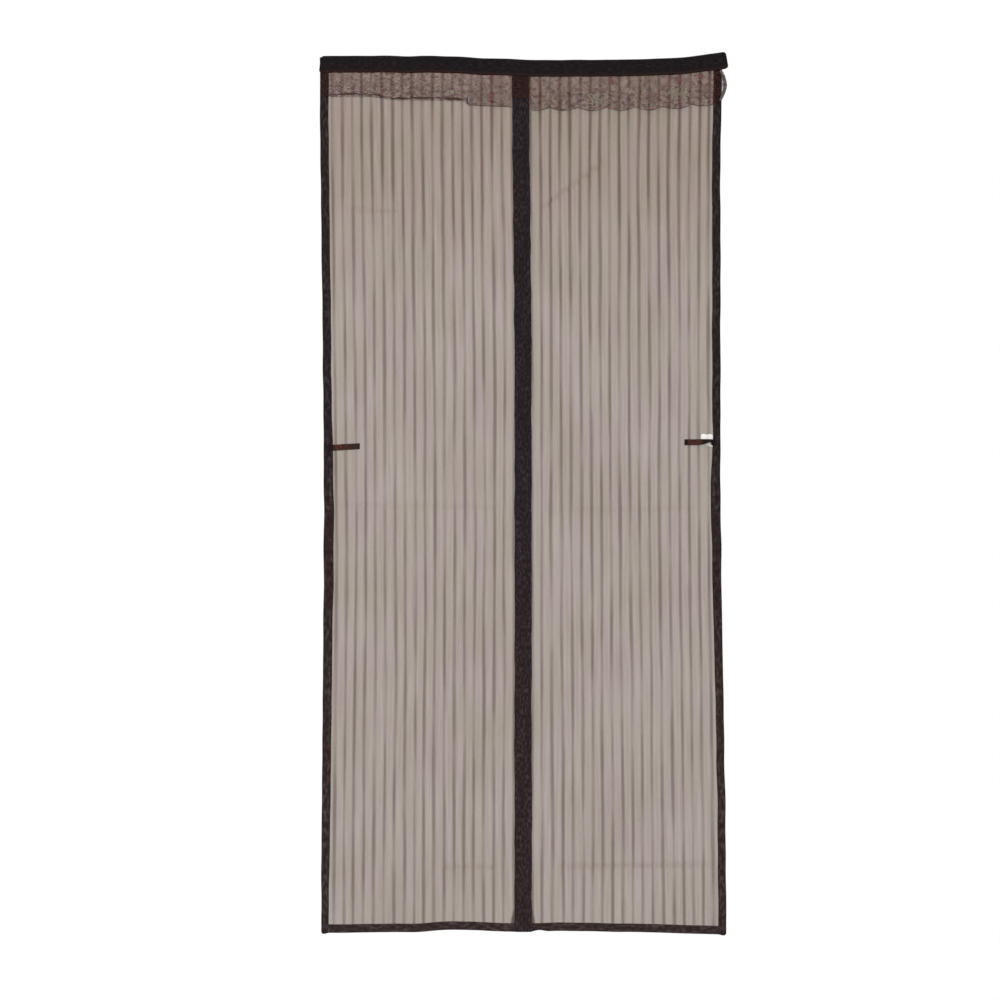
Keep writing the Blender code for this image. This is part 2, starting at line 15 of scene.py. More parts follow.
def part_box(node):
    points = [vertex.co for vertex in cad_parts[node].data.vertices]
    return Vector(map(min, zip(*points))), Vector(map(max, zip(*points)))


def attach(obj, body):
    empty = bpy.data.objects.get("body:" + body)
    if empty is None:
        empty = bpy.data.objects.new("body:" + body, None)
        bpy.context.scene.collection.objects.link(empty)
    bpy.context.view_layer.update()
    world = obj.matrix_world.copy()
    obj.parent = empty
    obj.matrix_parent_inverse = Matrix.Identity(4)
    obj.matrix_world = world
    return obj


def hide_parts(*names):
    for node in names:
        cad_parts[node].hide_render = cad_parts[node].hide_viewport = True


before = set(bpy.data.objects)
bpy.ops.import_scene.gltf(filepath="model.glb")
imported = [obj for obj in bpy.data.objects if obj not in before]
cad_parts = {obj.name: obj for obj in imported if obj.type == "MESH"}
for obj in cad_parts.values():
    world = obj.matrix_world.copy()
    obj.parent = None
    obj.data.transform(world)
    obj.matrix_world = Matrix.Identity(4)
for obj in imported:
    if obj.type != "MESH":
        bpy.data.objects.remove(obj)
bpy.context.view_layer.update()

MM = 0.001
ROOT = "root"

# %% [markdown]
# ## Camera
# The photograph looks straight at the screen, from far enough that nothing converges. One
# pixel of it is 2.506 mm on the screen. So the camera stands on the photograph's middle and
# goes back until the frame is as wide as the thousand pixels are.

# %% Place the camera
PIXEL = 2.506 * MM
PHOTO_PIXELS = 1000
ORIGIN_COLUMN = 522.5
ORIGIN_ROW = 68.75
LENS = 85
SENSOR = 36


def from_pixel(column, row):
    """A pixel of the photograph, as X and Z on the screen."""
    return (column - ORIGIN_COLUMN) * PIXEL, (ORIGIN_ROW - row) * PIXEL


aim_x, aim_z = from_pixel(PHOTO_PIXELS / 2, PHOTO_PIXELS / 2)
camera = bpy.data.objects.new("camera", bpy.data.cameras.new("camera"))
camera.data.lens = LENS
camera.data.sensor_width = SENSOR
camera.location = (aim_x, -PHOTO_PIXELS * PIXEL * LENS / SENSOR, aim_z)
camera.rotation_euler = (math.pi / 2, 0, 0)
bpy.context.scene.collection.objects.link(camera)
bpy.context.scene.camera = camera
print("camera at", tuple(round(value, 3) for value in camera.location))

# %% [markdown]
# ## Studio
# A sheer cloth takes half of its colour from what is behind it. The photograph has plain white
# there, so the room is white all round, which lights the cloth evenly and shows through it from
# any side. One broad lamp from the upper left gives the ribbons a direction to their sheen. The
# floor is pale and lies below the picture.

# %% Light the studio
FLOOR_HALF_WIDTH = 3.0
FLOOR_FRONT = -3.5
FLOOR_BACK = 1.1
FLOOR_LEVEL = -2.6
FLOOR_COLOUR = (0.82, 0.81, 0.80, 1)
LAMP_PLACE = (-2.4, -3.6, 1.2)
LAMP_SIZE = 2.5
LAMP_WATTS = 60

scene = bpy.context.scene
scene.view_settings.view_transform = "Standard"
room = bpy.data.worlds.new("white_room")
room.use_nodes = True
room.node_tree.nodes["Background"].inputs["Color"].default_value = (1, 1, 1, 1)
room.node_tree.nodes["Background"].inputs["Strength"].default_value = 1
scene.world = room

lamp = bpy.data.objects.new("lamp", bpy.data.lights.new("lamp", "AREA"))
lamp.data.size = LAMP_SIZE
lamp.data.energy = LAMP_WATTS
lamp.location = LAMP_PLACE
lamp.rotation_euler = (Vector((0, 0, -1)) - Vector(LAMP_PLACE)).to_track_quat("-Z", "Y").to_euler()
scene.collection.objects.link(lamp)

# %% [markdown]
# ## Materials: small helpers
# A material is a chain of nodes. Small helpers keep each chain short to read. The first adds a
# node with its inputs, and the others are the steps that every chain here is made of.

# %% Node helpers
def add_node(tree, kind, inputs=None, **settings):
    """Adds a node. An input is a plain value or the output of another node."""
    made = tree.nodes.new(kind)
    for name, value in settings.items():
        setattr(made, name, value)
    for place, value in (inputs or {}).items():
        if isinstance(value, bpy.types.NodeSocket):
            tree.links.new(value, made.inputs[place])
        else:
            made.inputs[place].default_value = value
    return made


def sums(tree, operation, *values):
    """One step of arithmetic on sockets and numbers."""
    return add_node(tree, "ShaderNodeMath", dict(enumerate(values)), operation=operation).outputs[0]


def blend_colour(tree, share, first, second):
    """The first colour where share is 0, the second where it is 1."""
    made = add_node(tree, "ShaderNodeMix", {0: share}, data_type="RGBA")
    for socket, value in ((made.inputs[6], first), (made.inputs[7], second)):
        if isinstance(value, bpy.types.NodeSocket):
            tree.links.new(value, socket)
        else:
            socket.default_value = (*value, 1)
    return made.outputs[2]


# %% Pattern helpers
def spread(tree, value, low, high, to_low=0.0, to_high=1.0):
    """Maps a value from one range to another with soft ends."""
    made = add_node(
        tree,
        "ShaderNodeMapRange",
        {0: value, 1: low, 2: high, 3: to_low, 4: to_high},
        interpolation_type="SMOOTHSTEP",
    )
    return made.outputs[0]


def grain(tree, where, scale, detail=2.0, stretch=(1, 1, 1)):
    """Cloudy noise between 0 and 1, with so many clouds to a metre."""
    mapped = add_node(tree, "ShaderNodeMapping", {"Vector": where, "Scale": stretch})
    made = add_node(
        tree, "ShaderNodeTexNoise", {"Vector": mapped.outputs[0], "Scale": scale, "Detail": detail}
    )
    return made.outputs[0]


def cloth_flat(tree):
    """A place on the flat cloth, from the sheet's UV map."""
    return add_node(tree, "ShaderNodeUVMap", uv_map="flat").outputs[0]


def cloth_mark(tree):
    """The mark on a sheet's points: painted shade, darkened strap ends and bleached ribbons."""
    return add_node(tree, "ShaderNodeAttribute", attribute_name="shade_and_bleach").outputs["Fac"]


def solid_place(tree):
    """A place in the piece itself, for pieces that aren't cut from flat cloth."""
    return add_node(tree, "ShaderNodeTexCoord").outputs["Object"]


def axes(tree, where):
    """X, Y and Z of a place."""
    return add_node(tree, "ShaderNodeSeparateXYZ", {0: where}).outputs


def swing(tree, base, pattern, size):
    """Adds a pattern to a value, up and down from the middle of the pattern."""
    return sums(tree, "MULTIPLY_ADD", sums(tree, "SUBTRACT", pattern, 0.5), size, base)


# %% Shader helpers
def paint(tree, shader, colour):
    """Gives a shader its colour."""
    tree.links.new(colour, shader.inputs["Base Color"])


def start_material(name, roughness, sheen, specular):
    """A new material with its shader, whose constant values stay on the shader itself."""
    material = bpy.data.materials.new(name)
    material.use_nodes = True
    tree = material.node_tree
    shader = tree.nodes["Principled BSDF"]
    shader.inputs["Roughness"].default_value = roughness
    shader.inputs["Sheen Weight"].default_value = sheen
    shader.inputs["Specular IOR Level"].default_value = specular
    return material, tree, shader


def add_bump(tree, shader, height, distance, strength=1.0):
    """Gives a shader relief of so many metres."""
    bump = add_node(
        tree, "ShaderNodeBump", {"Height": height, "Distance": distance, "Strength": strength}
    )
    tree.links.new(bump.outputs[0], shader.inputs["Normal"])


# %% [markdown]
# ## Material: woven ribbon
# The header, the bindings and the bands are polyester ribbon. Up close it is a fine plain
# weave, which is a product of two sines on the cloth's own flat coordinates. From further away
# the yarn's sheen breaks into small cool speckles, and long soft streaks follow the warp. The
# speckles are painted into the colour: they blend from the ribbon's dark colour to a lighter
# one, partly the yarn's own mottle and partly painted sheen. The low ribbons are a little
# bleached, and each mesh says where by a mark on its points.

# %% Ribbon material
RIBBON_YARN = 0.9 * MM
RIBBON_RELIEF = 0.25 * MM
RIBBON_ROUGHNESS = (0.5, 0.74)
SELVEDGE_FRAY = 2 * MM
SELVEDGE_FADE = 4.5 * MM


def weave_height(tree, flat, yarn):
    """The rise and fall of a plain weave, from 0 to 1."""
    waves = [
        sums(tree, "SINE", sums(tree, "MULTIPLY", axis, math.pi / yarn))
        for axis in axes(tree, flat)[:2]
    ]
    crossing = sums(tree, "MULTIPLY", *waves)
    return sums(tree, "MULTIPLY_ADD", crossing, 0.5, 0.5)


def ribbon_material(name, dark, light, marked, edge_from=None, fleck=150):
    """Woven ribbon. Where its points are marked, or past edge_from, it has the marked colours."""
    material, tree, shader = start_material(name, roughness=0.62, sheen=0.03, specular=0.07)
    flat, mark = cloth_flat(tree), cloth_mark(tree)
    # Speckles of the lighter colour: partly the yarn's own mottle, partly painted sheen
    sheen_speckle = spread(tree, grain(tree, flat, fleck, detail=3, stretch=(1, 0.4, 1)), 0.36, 0.80)
    streak = grain(tree, flat, 60, stretch=(1, 0.12, 1))
    share = sums(tree, "MULTIPLY", sheen_speckle, spread(tree, streak, 0.3, 0.7, 0.35, 1.0))
    if edge_from:
        reach = sums(tree, "ABSOLUTE", axes(tree, flat)[0])
        ragged = sums(tree, "MULTIPLY_ADD", grain(tree, flat, 90), SELVEDGE_FRAY, reach)
        edge = spread(tree, ragged, edge_from, edge_from + SELVEDGE_FADE)
        mark = sums(tree, "MAXIMUM", mark, edge)
    plain_colour = blend_colour(tree, share, dark, light)
    marked_colour = blend_colour(tree, share, *marked)
    paint(tree, shader, blend_colour(tree, mark, plain_colour, marked_colour))
    roughness = spread(tree, streak, 0.3, 0.7, *RIBBON_ROUGHNESS)
    tree.links.new(roughness, shader.inputs["Roughness"])
    weave = weave_height(tree, flat, RIBBON_YARN)
    slub = sums(tree, "MULTIPLY_ADD", grain(tree, flat, 320), 1.4, weave)
    add_bump(tree, shader, slub, RIBBON_RELIEF, strength=0.8)
    return material


# %% [markdown]
# ## How it hangs
# The flat pattern is a plain rectangle, but the photographed screen sags: the header dips in
# its middle, the sides bow in, and the hem rises and falls. The functions repeat the drape of
# the solids, so that each cloth lands where its solid is.

# %% Measures of the drape
SCREEN_WIDTH = 1000 * MM
SCREEN_DROP = 2200 * MM
HEADER_HEIGHT = 42 * MM
HALF_WIDTH = SCREEN_WIDTH / 2
HEADER_TOP = HEADER_HEIGHT / 2
HEADER_BOTTOM = -HEADER_HEIGHT / 2
HEM = HEADER_TOP - SCREEN_DROP
HEADER_LIFT_LEFT = 10 * MM
HEADER_LIFT_RIGHT = 20 * MM
HEADER_CURL_LEFT = 310 * MM
HEADER_LOW_X = 60 * MM
LEFT_EDGE_OUT = 7 * MM
LEFT_EDGE_BACK = 3.3 * MM
LEFT_EDGE_BACK_FROM = 0.45
LEFT_EDGE_BOW = 9.5 * MM
RIGHT_EDGE_IN = 4.3 * MM
RIGHT_EDGE_FLARE = 14.5 * MM
RIGHT_EDGE_IN_BY = 0.13
RIGHT_EDGE_OUT_FROM = 0.45
CENTRE_LEFT_AT_TOP = 5 * MM
CENTRE_RIGHT_BELOW = 1.5 * MM
CENTRE_SHIFT_BY = 0.38
HEM_LIFTS = (
    (-1.0, 15 * MM),
    (-0.55, 17 * MM),
    (-0.34, 22.5 * MM),
    (0.0, 17 * MM),
    (0.2, 19.5 * MM),
    (0.5, 16.5 * MM),
    (1.0, 10.5 * MM),
)


# %% Drape, as in the solids
def ease(share):
    """0 up to 0, 1 from 1 on, and smooth between."""
    share = min(max(share, 0), 1)
    return share * share * (3 - 2 * share)


def header_lift(x):
    """How far the header stands above its lowest place."""
    left = HEADER_LIFT_LEFT * ease((HEADER_LOW_X - x) / HEADER_CURL_LEFT)
    return left + HEADER_LIFT_RIGHT * max(x / HALF_WIDTH, 0) ** 5


def between(stops, at):
    """The value at a place, eased between stops of a place and a value."""
    for (low, low_value), (high, high_value) in zip(stops, stops[1:]):
        if at <= high:
            return low_value + (high_value - low_value) * ease((at - low) / (high - low))
    return stops[-1][1]


def hem_lift(x):
    """How far the hem is drawn up, between the places given in HEM_LIFTS."""
    return between(HEM_LIFTS, min(max(x / HALF_WIDTH, -1), 1))


def drape(x, z):
    """Where a point of the flat screen hangs."""
    down = min(max((HEADER_TOP - z) / SCREEN_DROP, 0), 1)
    left = min(max(-x / HALF_WIDTH, 0), 1)
    right = min(max(x / HALF_WIDTH, 0), 1)
    left_shift = LEFT_EDGE_BOW * math.sin(math.pi * down) ** 2 - LEFT_EDGE_OUT
    left_shift += LEFT_EDGE_BACK * ease((down - LEFT_EDGE_BACK_FROM) / (1 - LEFT_EDGE_BACK_FROM))
    right_shift = RIGHT_EDGE_FLARE * ease((down - RIGHT_EDGE_OUT_FROM) / (1 - RIGHT_EDGE_OUT_FROM))
    right_shift -= RIGHT_EDGE_IN * ease(down / RIGHT_EDGE_IN_BY)
    centre_way = CENTRE_LEFT_AT_TOP + CENTRE_RIGHT_BELOW
    centre_shift = centre_way * ease(down / CENTRE_SHIFT_BY) - CENTRE_LEFT_AT_TOP
    shift = left * left_shift + right * right_shift + (1 - left - right) * centre_shift
    lift = (1 - down) * header_lift(x) + down * hem_lift(x)
    return x + shift, z + lift


def ripple(x, z, size, wave, seed):
    """A gentle, fixed unevenness of about this size, with waves of about this length."""
    return size * noise.noise(Vector((x / wave, z / wave, seed)))


# %% [markdown]
# ## Layers
# The order from the door frame to the viewer is that of the solids too: the right panel hangs
# behind the left one, and its magnets are drawn to those of the left panel through two ribbons.

# %% Depth of each layer, as the back face of each piece
CLEARANCE = 0.3 * MM
RIBBON_THICKNESS = 0.5 * MM
SIDE_TAPE_WIDTH = 22.5 * MM
TAPE_INNER = HALF_WIDTH - SIDE_TAPE_WIDTH
HEM_TAPE_WIDTH = 21 * MM
BAND_WIDTH = 42 * MM
HALF_BAND = BAND_WIDTH / 2
LOOP_THICKNESS = 1.2 * MM
CLOTH_THICKNESS = 0.8 * MM
LACE_THICKNESS = 0.4 * MM
STEP = RIBBON_THICKNESS + CLEARANCE
HEADER_BACK_LEAF = -LOOP_THICKNESS - CLEARANCE
REAR_BACK_LEAF = HEADER_BACK_LEAF - STEP
REAR_CLOTH = REAR_BACK_LEAF - STEP
REAR_FRONT_LEAF = REAR_CLOTH - CLOTH_THICKNESS - CLEARANCE
FRONT_BACK_LEAF = REAR_FRONT_LEAF - STEP
FRONT_CLOTH = FRONT_BACK_LEAF - STEP
FRONT_FRONT_LEAF = FRONT_CLOTH - CLOTH_THICKNESS - CLEARANCE
LACE_BACK = FRONT_FRONT_LEAF - STEP
HEADER_FRONT_LEAF = LACE_BACK - LACE_THICKNESS - CLEARANCE
HEADER_BEND = (HEADER_BACK_LEAF - HEADER_FRONT_LEAF + RIBBON_THICKNESS) / 2
TUCKED_TOP = HEADER_TOP - HEADER_BEND - CLEARANCE
print("front of the header:", round(HEADER_FRONT_LEAF / MM, 2), "mm")

# %% [markdown]
# ## One way to make any cloth
# Every sheet starts as a flat grid with its cut size in its UV map, in metres. Then each point
# is moved to where it hangs, and a Solidify modifier gives the sheet its thickness. The weave
# reads the UV map, so it bends round folds with the cloth.

# %% Cloth from a grid
def stations(start, end, step):
    """Evenly spaced values from start to end, no further apart than step."""
    count = max(math.ceil(abs(end - start) / step - 1e-9), 1)
    return [start + (end - start) * index / count for index in range(count + 1)]


def keep(piece, material, stands_for):
    """Finishes a piece: its material, its body and the solids that it stands for."""
    piece.data.materials.append(material)
    scene.collection.objects.link(piece)
    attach(piece, ROOT)
    if stands_for:
        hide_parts(*stands_for)
    print(piece.name, "has", len(piece.data.polygons), "faces")
    return piece


def as_piece(name, shape):
    """An object made of a finished bmesh."""
    mesh = bpy.data.meshes.new(name)
    shape.to_mesh(mesh)
    shape.free()
    return bpy.data.objects.new(name, mesh)


def make_cloth(name, across, along, place, thickness, material, stands_for=(), shade_and_bleach=None):
    """A closed sheet of cloth, whose flat point (x, y) hangs at place(x, y)."""
    shape = bmesh.new()
    columns, rows = len(across) - 1, len(along) - 1
    bmesh.ops.create_grid(shape, x_segments=columns, y_segments=rows, size=0.5)
    flat = shape.loops.layers.uv.new("flat")
    shaded = shape.verts.layers.float.new("shade_and_bleach")
    for point in shape.verts:
        column = round((point.co.x + 0.5) * columns)
        row = round((point.co.y + 0.5) * rows)
        point.co = (across[column], along[row], 0)
        point[shaded] = shade_and_bleach(point.co.x, point.co.y) if shade_and_bleach else 0
    for face in shape.faces:
        face.smooth = True
        for corner in face.loops:
            corner[flat].uv = corner.vert.co.xy
    for point in shape.verts:
        point.co = place(point.co.x, point.co.y)
    piece = as_piece(name, shape)
    solidify = piece.modifiers.new("thickness", "SOLIDIFY")
    solidify.thickness = thickness
    solidify.offset = 0
    return keep(piece, material, stands_for)


# %% [markdown]
# ## A ribbon folded over an edge
# A binding is one ribbon folded in two. Measured round the ribbon from the outside of its fold,
# a point lies first on a half circle and then on one of the two leaves.

# %% Fold a ribbon
FOLD_STOPS = 4


def fold_half(width, back_leaf, front_leaf):
    """How much ribbon each side of the fold needs, for a binding of this width."""
    radius = (back_leaf - front_leaf) / 2
    return width - radius + math.pi * radius / 2


def fold(way, back_leaf, front_leaf):
    """Distance from the outside of the fold, and depth, of a point this far round the ribbon."""
    radius = (back_leaf - front_leaf) / 2
    middle = (back_leaf + front_leaf - RIBBON_THICKNESS) / 2
    quarter = math.pi * radius / 2
    if abs(way) < quarter:
        turn = way / radius
        return radius * (1 - math.cos(turn)), middle - radius * math.sin(turn)
    return radius + abs(way) - quarter, middle - math.copysign(radius, way)


def fold_stops(width, back_leaf, front_leaf, step):
    """Stops round a folded ribbon, closer together on the fold itself."""
    half = fold_half(width, back_leaf, front_leaf)
    quarter = math.pi * (back_leaf - front_leaf) / 4
    bend = [quarter * index / FOLD_STOPS for index in range(-FOLD_STOPS, FOLD_STOPS + 1)]
    leaf = stations(quarter, half, step)[1:]
    return [-stop for stop in reversed(leaf)] + bend + leaf


# %% [markdown]
# ## Material: striped mesh
# The net lets about a quarter of the white room through. Its bays are plain and its stripes are
# closer knitted, so they are darker and less sheer. The sheet has two walls, and light passes
# both, so each wall is only half as dense as the cloth. Soft clouds vary the colour a little
# from mauve to olive, as knitted polyester does. Creases from the packing have painted shade
# along them. The foot of the screen beside the bands, where the cloth was bunched as it was
# sewn, is darker partly for the bunched cloth and partly as painted shade in its gathers. The
# mesh also has painted shade that darkens it towards the top.

# %% Sizes and colours of the mesh
STRIPE_PITCH = 24.8 * MM
FIRST_STRIPE = 47.65 * MM
STRIPE_COUNT = 18
STRIPE_CORE = 1.2 * MM
STRIPE_REACH = 8.2 * MM
STRIPE_FRAY = 1.6 * MM
NET_PITCH = 1.5 * MM
NET_RELIEF = 0.2 * MM
BAY_MAUVE = (0.2085, 0.1210, 0.0860)
BAY_OLIVE = (0.1930, 0.1265, 0.0655)
STRIPE_MAUVE = (0.114, 0.060, 0.048)
STRIPE_OLIVE = (0.102, 0.065, 0.035)
# Colour of the bunched foot: partly the bunched cloth, partly painted shade in its gathers
BUNCH_SHADE_MAUVE = (0.104, 0.065, 0.064)
# A crease's painted shade is marked by up to 1 on the sheet's points, and that of bunched cloth by
# this
BUNCH_MARK = 3.0
# How much of the light the bays and stripes hold back, and what other things add to it
BAY_COVER = 0.490
STRIPE_COVER = 0.645
CREASE_SHADE_COVER = 0.06
RIB_COVER = 0.16
UNEVEN_COVER = 0.09
NET_COVER = 0.25
# Painted shade that darkens the mesh towards the top, more on the stripes
TOP_SHADE_COVER = 0.080
TOP_SHADE_FROM = -0.75
TOP_SHADE_ON_STRIPE = 0.6


# %% Mesh material
def mesh_colour(tree, flat, stripe, bunched):
    """Clouds from mauve to olive, darker on stripes, and painted shade where the cloth is bunched.
    """
    clouds = spread(tree, grain(tree, flat, 9, detail=4, stretch=(1.3, 0.55, 1)), 0.36, 0.64)
    bay_colour = blend_colour(tree, clouds, BAY_MAUVE, BAY_OLIVE)
    stripe_colour = blend_colour(tree, clouds, STRIPE_MAUVE, STRIPE_OLIVE)
    colour = blend_colour(tree, stripe, bay_colour, stripe_colour)
    return blend_colour(tree, bunched, colour, BUNCH_SHADE_MAUVE)


def mesh_cover(tree, flat, stripe, crease, net):
    """How much of the light the mesh holds back, with painted shade on creases and towards the top.
    """
    cover = spread(tree, stripe, 0, 1, BAY_COVER, STRIPE_COVER)
    # Painted shade along the creases
    cover = sums(tree, "MULTIPLY_ADD", crease, CREASE_SHADE_COVER, cover)
    # Painted shade, darker towards the top
    top_shade = spread(tree, axes(tree, flat)[1], TOP_SHADE_FROM, 0.0, 0.0, TOP_SHADE_COVER)
    cover = sums(tree, "ADD", top_shade, cover)
    top_shade_on_stripe = sums(tree, "MULTIPLY", top_shade, stripe)
    cover = sums(tree, "MULTIPLY_ADD", top_shade_on_stripe, TOP_SHADE_ON_STRIPE, cover)
    cover = swing(tree, cover, grain(tree, flat, 110, stretch=(1.6, 0.05, 1)), RIB_COVER)
    cover = swing(tree, cover, grain(tree, flat, 4), UNEVEN_COVER)
    return swing(tree, cover, net, NET_COVER)


def mesh_material():
    """Sheer knitted net with closer stripes."""
    material, tree, shader = start_material("striped_mesh", roughness=0.8, sheen=0.1, specular=0.1)
    flat, crease = cloth_flat(tree), cloth_mark(tree)
    from_middle = sums(tree, "ABSOLUTE", axes(tree, flat)[0])
    from_first = sums(tree, "SUBTRACT", from_middle, FIRST_STRIPE)
    in_pitch = sums(tree, "PINGPONG", from_first, STRIPE_PITCH / 2)
    fray = grain(tree, flat, 40, detail=3, stretch=(3, 0.5, 1))
    frayed = sums(tree, "MULTIPLY_ADD", fray, STRIPE_FRAY, in_pitch)
    stripe = spread(tree, frayed, STRIPE_CORE, STRIPE_REACH, 1.0, 0.0)
    faded = spread(tree, grain(tree, flat, 34, stretch=(1, 0.10, 1)), 0.32, 0.66, 0.42, 1.0)
    # Where the cloth is bunched, with painted shade in its gathers
    bunched = spread(tree, crease, 1.0, BUNCH_MARK)
    stripe = sums(tree, "MAXIMUM", sums(tree, "MULTIPLY", stripe, faded), bunched)
    paint(tree, shader, mesh_colour(tree, flat, stripe, bunched))
    net = weave_height(tree, flat, NET_PITCH)
    tree.links.new(mesh_cover(tree, flat, stripe, crease, net), shader.inputs["Alpha"])
    add_bump(tree, shader, net, NET_RELIEF, strength=0.6)
    return material


# %% [markdown]
# ## Mesh panels
# The real panel is one knitted cloth whose stripes wander by a few millimetres. The grid has
# columns at both edges of each stripe, so each stripe is a low rib that wanders in the mesh
# itself. Away from its bindings the cloth billows a little, and it is flat where it is sewn.

# %% Creases, and the bunched foot
# Ends of each packing crease on the flat cloth, and how much it shows in its shape and painted
# shade
CREASES = (
    (44 * MM, -357 * MM, 212 * MM, -232 * MM, 0.9),
    (74 * MM, -2016 * MM, 474 * MM, -2004 * MM, 0.8),
    (-206 * MM, -2022 * MM, -56 * MM, -2016 * MM, 0.7),
    (-432 * MM, -362 * MM, -307 * MM, -371 * MM, 0.7),
    (-478 * MM, -1105 * MM, -60 * MM, -1113 * MM, 0.35),
    (60 * MM, -1118 * MM, 474 * MM, -1109 * MM, 0.35),
)
CREASE_WIDTH = 11 * MM
# The cloth is bunched beside the foot of the bands, over this height and width
BUNCH_HEIGHT = 44 * MM
BUNCH_WIDTH = 10 * MM
BUNCH_EDGE = 4 * MM


def crease_share(x, z):
    """1 on a crease, 0 away from all of them, and the side of it on which the point lies."""
    most, side = 0, 0
    for x1, z1, x2, z2, strength in CREASES:
        run = Vector((x2 - x1, z2 - z1))
        from_start = Vector((x - x1, z - z1))
        along = min(max(from_start.dot(run) / run.length_squared, 0), 1)
        off = from_start - run * along
        share = strength * ease(1 - off.length / CREASE_WIDTH)
        share *= ease(5 * min(along, 1 - along) + 0.3)
        if share > most:
            most, side = share, math.copysign(1, off.y)
    return most, side


def mesh_shade(x, z):
    """Painted shade on the mesh: on creases, and where it is bunched at the bands' foot."""
    height_share = (z - HEM - HEM_TAPE_WIDTH) / BUNCH_HEIGHT
    reach = HALF_BAND + BUNCH_WIDTH * (1 - height_share**2)
    bunch = ease((reach - abs(x)) / BUNCH_EDGE) if height_share < 1 else 0
    return crease_share(x, z)[0] + BUNCH_MARK * bunch


# %% Ribs, and where the cloth lies still
RIB_OFFSETS = tuple(value * MM for value in (-5.4, -3.6, 0, 3.6, 5.4, 10.2, 14.6))
RIB_FOOT = 5.4 * MM
RIB_SLOPE = 1.8 * MM
MESH_EDGE_INSET = 8 * MM
MESH_SEAM = 10 * MM
BESIDE_BAND = 1 * MM
CALM_ACROSS = 70 * MM
CALM_ALONG = 120 * MM


def in_stripe(x):
    """1 on the top of a stripe's rib, 0 in a bay."""
    off = abs((abs(x) - FIRST_STRIPE + STRIPE_PITCH / 2) % STRIPE_PITCH - STRIPE_PITCH / 2)
    return ease((RIB_FOOT - off) / RIB_SLOPE)


def from_ribbons(x):
    """How far inside the open cloth a place is, from the nearest band or side binding."""
    return min(abs(x) - HALF_BAND, TAPE_INNER - abs(x))


def calm(x, z):
    """0 at the bindings, 1 in the open cloth."""
    from_ends = min(HEADER_BOTTOM - z, z - HEM - HEM_TAPE_WIDTH)
    return ease(from_ribbons(x) / CALM_ACROSS) * ease(from_ends / CALM_ALONG)


def mesh_columns():
    """Flat distances from the middle of the screen at which the grid has a column."""
    inner, outer = HALF_BAND - MESH_SEAM, HALF_WIDTH - MESH_EDGE_INSET
    stops = {inner, outer, HALF_BAND + BESIDE_BAND}
    for index in range(-1, STRIPE_COUNT + 1):
        stripe = FIRST_STRIPE + STRIPE_PITCH * index
        stops |= {stripe + offset for offset in RIB_OFFSETS}
    return sorted(stop for stop in stops if inner <= stop <= outer)


# %% Shape of the mesh
MESH_THICKNESS = 0.3 * MM
MESH_ROW = 9 * MM
RIB_HEIGHT = 0.35 * MM
CREASE_PUSH = 1.6 * MM
CREASE_DEPTH = 1.2 * MM
STILL_WHERE_SEWN = 12 * MM
# Size, length across, length along and seed of each wave, sideways and in depth
WANDERS = ((2.6 * MM, 34 * MM, 330 * MM, 0), (2.6 * MM, 80 * MM, 900 * MM, 5))
BILLOWS = ((4.0 * MM, 170 * MM, 620 * MM, 9), (1.2 * MM, 60 * MM, 240 * MM, 13))


def unrest(x, z, waves, seed):
    """All the waves together at a place, for one panel's seed."""
    return sum(
        size * noise.noise(Vector((x / across, z / along, seed + more)))
        for size, across, along, more in waves
    )


def mesh_place(cloth_back, seed):
    """The place of a flat point of one panel."""

    def place(x, z):
        crease, side = crease_share(x, z)
        wander = unrest(x, z, WANDERS, seed) + crease * side * CREASE_PUSH
        billow = unrest(x, z, BILLOWS, seed) - crease * CREASE_DEPTH
        depth = cloth_back - MESH_THICKNESS / 2 - RIB_HEIGHT * in_stripe(x)
        hung_x, hung_z = drape(x + wander * ease(from_ribbons(x) / STILL_WHERE_SEWN), z)
        return hung_x, depth + calm(x, z) * billow, hung_z

    return place


# %% Make both mesh panels
mesh_finish = mesh_material()
mesh_rows = stations(HEM + MESH_EDGE_INSET, TUCKED_TOP, MESH_ROW)
for side, name, back, seed in ((-1, "left", FRONT_CLOTH, 2.7), (1, "right", REAR_CLOTH, 31.4)):
    make_cloth(
        f"{name}_mesh_cloth",
        sorted(side * stop for stop in mesh_columns()),
        mesh_rows,
        mesh_place(back, seed),
        MESH_THICKNESS,
        mesh_finish,
        [f"mesh_panel_{name}"],
        mesh_shade,
    )

# %% [markdown]
# ## Header
# The header is a black tape folded over the tops of both panels. It dips, its corners are
# rounded where the tape is turned in, and both ends lean out a little. Its lower edge shows a
# narrow red-brown selvedge, and two cross folds are pressed into its left half.

# %% Shape of the header
HEADER_LEFT = -HALF_WIDTH - 2 * MM
HEADER_RIGHT = HALF_WIDTH + 10 * MM
CORNER_RADIUS = 10 * MM
# The top corner falls by the rounding, and the tape gives it back this fast on its way down
CORNER_TURN = 1.5
HEADER_LEAN = 5 * MM
HEADER_LEAN_FROM = 430 * MM
HEADER_LEAN_LEFT = 3 * MM
HEADER_LEAN_OVER = 30 * MM
SELVEDGE = 8 * MM
PRESSED_FOLDS = (-366 * MM, -267 * MM)
PRESSED_DEPTH = 0.9 * MM
PRESSED_REACH = 3 * MM
# Size and length of its wrinkles in depth, and of its waves in height
HEADER_WRINKLE = (0.5 * MM, 26 * MM)
HEADER_WAVE = (2.2 * MM, 62 * MM)

# Black of the header tape, and the colour of its painted sheen speckles
HEADER_BLACK = (0.0050, 0.0028, 0.0032)
HEADER_SHEEN = (0.0190, 0.0158, 0.0176)
SELVEDGE_BROWN = (0.0145, 0.0058, 0.0052), (0.0190, 0.0090, 0.0085)


def rounded_off(radius, from_end):
    """How far a corner of this radius falls away, so far from its end."""
    rounding = max(radius - from_end, 0)
    return radius - math.sqrt(max(radius**2 - rounding**2, 0))


